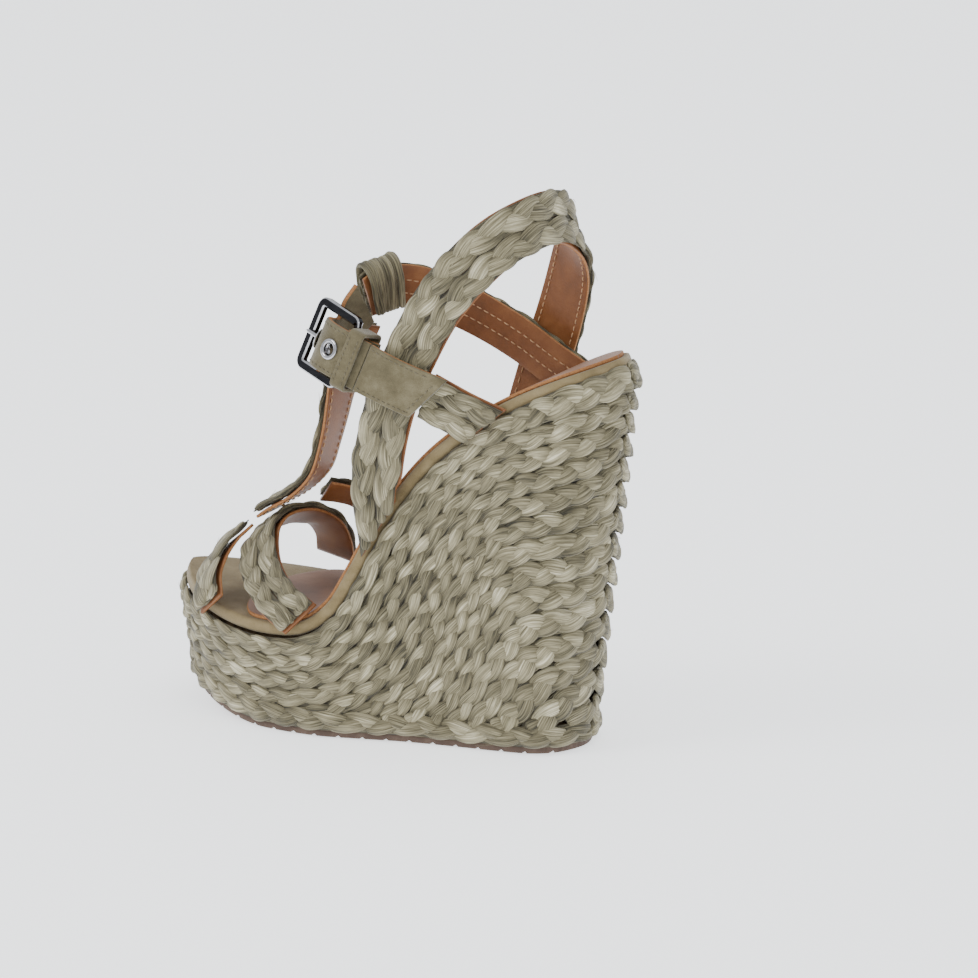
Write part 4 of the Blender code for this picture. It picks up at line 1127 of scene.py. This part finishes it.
CHAPE_FRONT = [
    ((-3.0, 0.0, 1.0), (-0.35, 0.95)), ((-6.0, 0.0, -0.5), (-0.4, 0.9)), ((-9.0, 0.1, -2.0), (-0.45, 0.9)),
    ((-11.4, 0.2, -3.3), (-0.4, 0.9)),
]


def suede_path():
    return [buckle_row(*row) for row in SUEDE_ROUTE] + [(*place, 0.0, -1.0, 0.1) for place in SUEDE_TAIL]


def eased(frames, last):
    """Turn the strap's width evenly from its first direction to the one it has at frame last."""
    place, along, side, outward = (a.copy() for a in frames)
    share = (np.arange(last) / last)[:, None]
    side[:last] = unit(side[0] * (1 - share) + side[last] * share)
    outward[:last] = unit(np.cross(along[:last], side[:last]))
    return [place, along, side, outward]


def part_of(frames, first, last):
    return [a[first:last] for a in frames]


def eyelet(name, frames, i):
    """A turned eyelet with a rounded flange and a rolled inner lip."""
    place, along, side, outward = (a[i] for a in frames)
    top = SUEDE_THICKNESS + 0.3
    profile = [(EYELET_HOLE, -0.6), (2.75, -0.6), (2.75, top - 0.2), (3.9, top - 0.15), (4.0, top + 0.1)]
    for angle in np.linspace(10, 170, 9):
        a = math.radians(angle)
        profile.append((3.2 + 0.8 * math.cos(a), top + 0.1 + 0.5 * math.sin(a)))
    profile.append((EYELET_HOLE, top - 0.1))
    rings = []
    for turn in np.linspace(0, 2 * np.pi, 48, endpoint=False):
        arm = along * math.cos(turn) + side * math.sin(turn)
        rings.append([place + arm * r + outward * t for r, t in profile])
    shape = Shape()
    shape.rings(np.array(rings), closed=True)
    shape.finish(f"{name}_metal", [METAL], name, slot="polished_metal")
    ends = np.array([place - outward * 2.5, place, place + outward * 5.0])
    return round_tube(ends, 3.05, along, 32)


def cut(obj, guides):
    """Cut guide shapes out of a piece and keep the result as its mesh."""
    for rings in guides:
        guide = Shape()
        guide.rings(rings)
        tool = guide.finish("guide", [])
        modifier = obj.modifiers.new("cut", "BOOLEAN")
        modifier.operation = "DIFFERENCE"
        modifier.solver = "EXACT"
        modifier.object = tool
        graph = bpy.context.evaluated_depsgraph_get()
        made = bpy.data.meshes.new_from_object(obj.evaluated_get(graph))
        obj.modifiers.clear()
        obj.data = made
        bpy.data.objects.remove(tool)


def make_suede_end():
    coarse = eased(strap_frames(suede_path(), 56), 18)
    bend_height = (coarse[0] + coarse[3] - BAR_CENTRE) @ OUTWARD
    rise = BAR_RADIUS + 0.25 + PRONG_RADIUS
    bend = 10 + int(np.argmin(np.abs(bend_height[10:24] - rise)))
    free = int(np.argmin(np.linalg.norm(coarse[0] - at_buckle(2.4, 0.0, 5.4), axis=1)))
    guides = [eyelet("eyelet_at_prong", coarse, bend), eyelet("eyelet_free", coarse, free)]

    frames = eased(strap_frames(suede_path(), 166), 54)
    forward = (frames[0] - BAR_CENTRE) @ FORWARD
    split = int(np.argmax(forward < -TIP_START))
    rng = np.random.default_rng(51)
    half = SUEDE_WIDTH / 2

    held, lean, shape = suede_band(part_of(frames, 0, split), (-0.3, 0.0), rng)
    body = shape.finish("strap_end_body", [SUEDE, RAW_EDGE])
    cut(body, guides)
    threads = Shape()
    edge_seams(threads, held, lean, half - 1.6, SUEDE_THICKNESS, 0, 2.2, 1.5, 0.2, (2.0, 1.0))
    seam = threads.finish("strap_end_thread", [DARK_THREAD])
    merge([body, seam], "ankle_strap_end_suede")
    settle(body, "ankle_strap_end", "shoe", "suede")

    free_end, lean, shape = suede_band(part_of(frames, split, len(frames[0])), (0.0, 0.55), rng)
    edge_seams(shape, free_end, lean, half - 1.6, SUEDE_THICKNESS, 2, 2.2, 1.5, 0.2, (1.0, 2.6))
    end_stitches(shape, free_end, lean, half)
    finishes = [SUEDE, RAW_EDGE, DARK_THREAD]
    shape.finish("ankle_strap_tip_suede", finishes, "ankle_strap_tip", "strap_tip", "suede")


def suede_band(frames, shear, rng):
    """One length of the suede strap: its frames, its leaning width directions and its shape."""
    half = SUEDE_WIDTH / 2
    section, edges = rounded_section(-half, half, 0.0, SUEDE_THICKNESS, 0.6)
    lean = leaned(frames, shear, half)
    shape = Shape()
    sweep(shape, frames, lean, section, edges, tone=0.5 + 0.15 * wander(rng, lengths(frames[0]), 10.0))
    return frames, lean, shape


def edge_seams(shape, frames, lean, reach, *stitch):
    """A row of stitches along each edge."""
    for lateral in (-reach, reach):
        stitches(shape, frames, lean, lateral, *stitch)


def end_stitches(shape, frames, lean, half):
    """The stitch row across the tip, parallel to its slanted end."""
    place, _, _, outward = frames
    s = lengths(place)
    i = int(np.argmin(np.abs(s - (s[-1] - 2.4))))
    for w in np.arange(-half + 2.6, half - 3.4, 2.2):
        t = np.linspace(0, 1, 5)[:, None] * 1.5 + w
        bow = SUEDE_THICKNESS + 0.2 * STITCH_BOW[:, None]
        points = place[i] + lean[-1] * t + outward[i] * bow
        shape.rings(round_tube(points, 0.2 * STITCH_TAPER, outward[i], 6), slot=2)


def merge(objects, name):
    """Join meshes into one piece that keeps each part's finish."""
    with bpy.context.temp_override(active_object=objects[0], selected_editable_objects=objects,
                                   selected_objects=objects):
        bpy.ops.object.join()
    objects[0].name = name


def make_chape():
    ring = BAR_RADIUS + 0.3
    bend = []
    for degrees in (-90, -60, -30, 0, 30, 60, 90):
        facing = (math.cos(math.radians(degrees)), math.sin(math.radians(degrees)))
        bend.append(((ring * facing[0], 0.0, ring * facing[1]), facing))
    rows = [buckle_row(*row) for row in CHAPE_BACK + bend + CHAPE_FRONT]
    frames = strap_frames(rows, 110)
    half = CHAPE_WIDTH / 2
    section, edges = rounded_section(-half, half, 0.0, 1.2, 0.45)
    shape = Shape()
    rng = np.random.default_rng(61)
    tone = 0.5 + 0.15 * wander(rng, lengths(frames[0]), 8.0)
    sweep(shape, frames, frames[2], section, edges, tone=tone)
    body = shape.finish("chape_body", [SUEDE, RAW_EDGE])
    width = PRONG_RADIUS * 2 + 1.4
    corners = ((-4.6, -4.0), (5.0, -4.0), (5.0, 4.2), (-4.6, 4.2))
    slot = np.array([[at_buckle(f, up, o) for f, o in corners] for up in (-width / 2, 0.0, width / 2)])
    cut(body, [slot])
    threads = Shape()
    front = part_of(frames, 70, 109)
    edge_seams(threads, front, front[2], half - 1.5, 1.2, 0, 2.1, 1.4, 0.19, (0.5, 0.5))
    seam = threads.finish("chape_thread", [DARK_THREAD])
    merge([body, seam], "buckle_chape_suede")
    settle(body, "buckle_chape", "shoe", "suede")


KEEPER_MIDDLE = (-6.5, 0.0, 1.3)
KEEPER_HALF = 10.4
KEEPER_LOW = -6.2
KEEPER_HIGH = 5.1


def at_keeper(up, out, wide):
    """A place by its height, its distance out and its place along the strap from the keeper's middle."""
    forward = KEEPER_MIDDLE[0] + KEEPER_ALONG[0] * wide + KEEPER_OUT[0] * out
    outward = KEEPER_MIDDLE[2] + KEEPER_ALONG[2] * wide + KEEPER_OUT[2] * out
    return at_buckle(forward, up, outward)


def keeper_route():
    """The keeper's inner face all round the strap, with a point at least every 1.2 mm."""
    route = rounded_rectangle(-KEEPER_HALF, KEEPER_LOW, KEEPER_HALF, KEEPER_HIGH, 0.9, 6)
    dense = []
    for point, following in zip(route, np.roll(route, -1, axis=0)):
        pieces = max(1, int(np.linalg.norm(following - point) / 1.2))
        dense += [point + (following - point) * f for f in np.linspace(0, 1, pieces, endpoint=False)]
    return np.array(dense)


def make_keeper():
    half = KEEPER_WIDTH / 2
    section, edges = rounded_section(-half, half, 0.0, KEEPER_THICKNESS, 0.4, 7)
    route = keeper_route()
    rings = []
    for (up, out), (tx, ty) in zip(route, normals(route)):
        rings.append([at_keeper(up + tx * t, out + ty * t, w) for w, t in section])
    shape = Shape()
    shape.rings(np.array(rings), closed=True, slot=edge_slots(edges))
    bow = KEEPER_HIGH + KEEPER_THICKNESS + 0.19 * STITCH_BOW
    for wide in (-half + 1.3, half - 1.3):
        for up in np.arange(-KEEPER_HALF + 0.8, KEEPER_HALF - 1.6, 2.1):
            points = [at_keeper(up + a, b, wide) for a, b in zip(np.linspace(0, 1, 5) * 1.4, bow)]
            shape.rings(round_tube(points, 0.19 * STITCH_TAPER, OUTWARD, 6), slot=2)
    shape.finish("strap_keeper_suede", [SUEDE, SUEDE, DARK_THREAD], "strap_keeper", "keeper", "suede")


# ------------------------------------------------ inner parts, stage and camera
def finish_inner():
    for name, material in (("wedge_core", CORE), ("steel_shank", METAL)):
        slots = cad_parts[name].data.materials
        slots.clear()
        slots.append(material)


def add_light(name, place, target, size, energy, colour=(1.0, 1.0, 1.0)):
    data = bpy.data.lights.new(name, "AREA")
    data.shape = "DISK"
    data.size = size
    data.energy = energy
    data.color = colour
    obj = bpy.data.objects.new(name, data)
    obj.location = place
    obj.rotation_euler = (Vector(target) - Vector(place)).to_track_quat("-Z", "Y").to_euler()
    bpy.context.scene.collection.objects.link(obj)


FLOOR_REACH = 6.0
FLOOR_DROP = 0.0002


def make_stage():
    mesh = bpy.data.meshes.new("floor")
    corners = [(-1, -1), (1, -1), (1, 1), (-1, 1)]
    mesh.from_pydata([(x * FLOOR_REACH, y * FLOOR_REACH, 0) for x, y in corners], [], [(0, 1, 2, 3)])
    floor = bpy.data.objects.new("floor", mesh)
    floor.location.z = -FLOOR_DROP
    bpy.context.scene.collection.objects.link(floor)
    f = Finish("pale_floor", 0.9, specular=0.1)
    f.set("Base Color", (0.93, 0.94, 0.95, 1.0))
    f.set("Emission Color", (0.95, 0.975, 1.0, 1.0))
    f.set("Emission Strength", 1.25)
    mesh.materials.append(f.material)
    world = bpy.data.worlds.new("studio")
    world.use_nodes = True
    background = world.node_tree.nodes["Background"]
    background.inputs["Color"].default_value = (0.95, 0.97, 1.0, 1.0)
    background.inputs["Strength"].default_value = 1.0
    bpy.context.scene.world = world
    middle = (0.0, 0.0, 0.1)
    add_light("key", (-0.9, -1.1, 1.5), middle, 0.9, 13.0, (1.0, 0.985, 0.96))
    add_light("fill", (1.4, -1.3, 0.8), middle, 1.4, 2.0)
    add_light("top", (0.2, 0.5, 1.8), middle, 1.6, 6.0)


CAMERA_TURN = 28.3
CAMERA_RISE = 14.8
CAMERA_DISTANCE = 2.476
CAMERA_TARGET = Vector((0.0316, 0.0131, 0.0918))
FIELD_WIDTH = 0.372


def make_camera():
    turn, rise = math.radians(CAMERA_TURN), math.radians(CAMERA_RISE)
    back = Vector((math.sin(turn) * math.cos(rise), -math.cos(turn) * math.cos(rise), math.sin(rise)))
    data = bpy.data.cameras.new("camera")
    data.sensor_width = 36.0
    data.lens = 36.0 * CAMERA_DISTANCE / FIELD_WIDTH
    data.clip_end = 50.0
    camera = bpy.data.objects.new("camera", data)
    camera.location = CAMERA_TARGET + back * CAMERA_DISTANCE
    camera.rotation_euler = (-back).to_track_quat("-Z", "Y").to_euler()
    bpy.context.scene.collection.objects.link(camera)
    bpy.context.scene.camera = camera


make_wrap()
make_foxing()
make_straps()
make_t_loop()
make_footbed()
make_outsole()
make_buckle_frame()
make_prong()
make_suede_end()
make_chape()
make_keeper()
finish_inner()
make_stage()
make_camera()

bpy.context.view_layer.update()
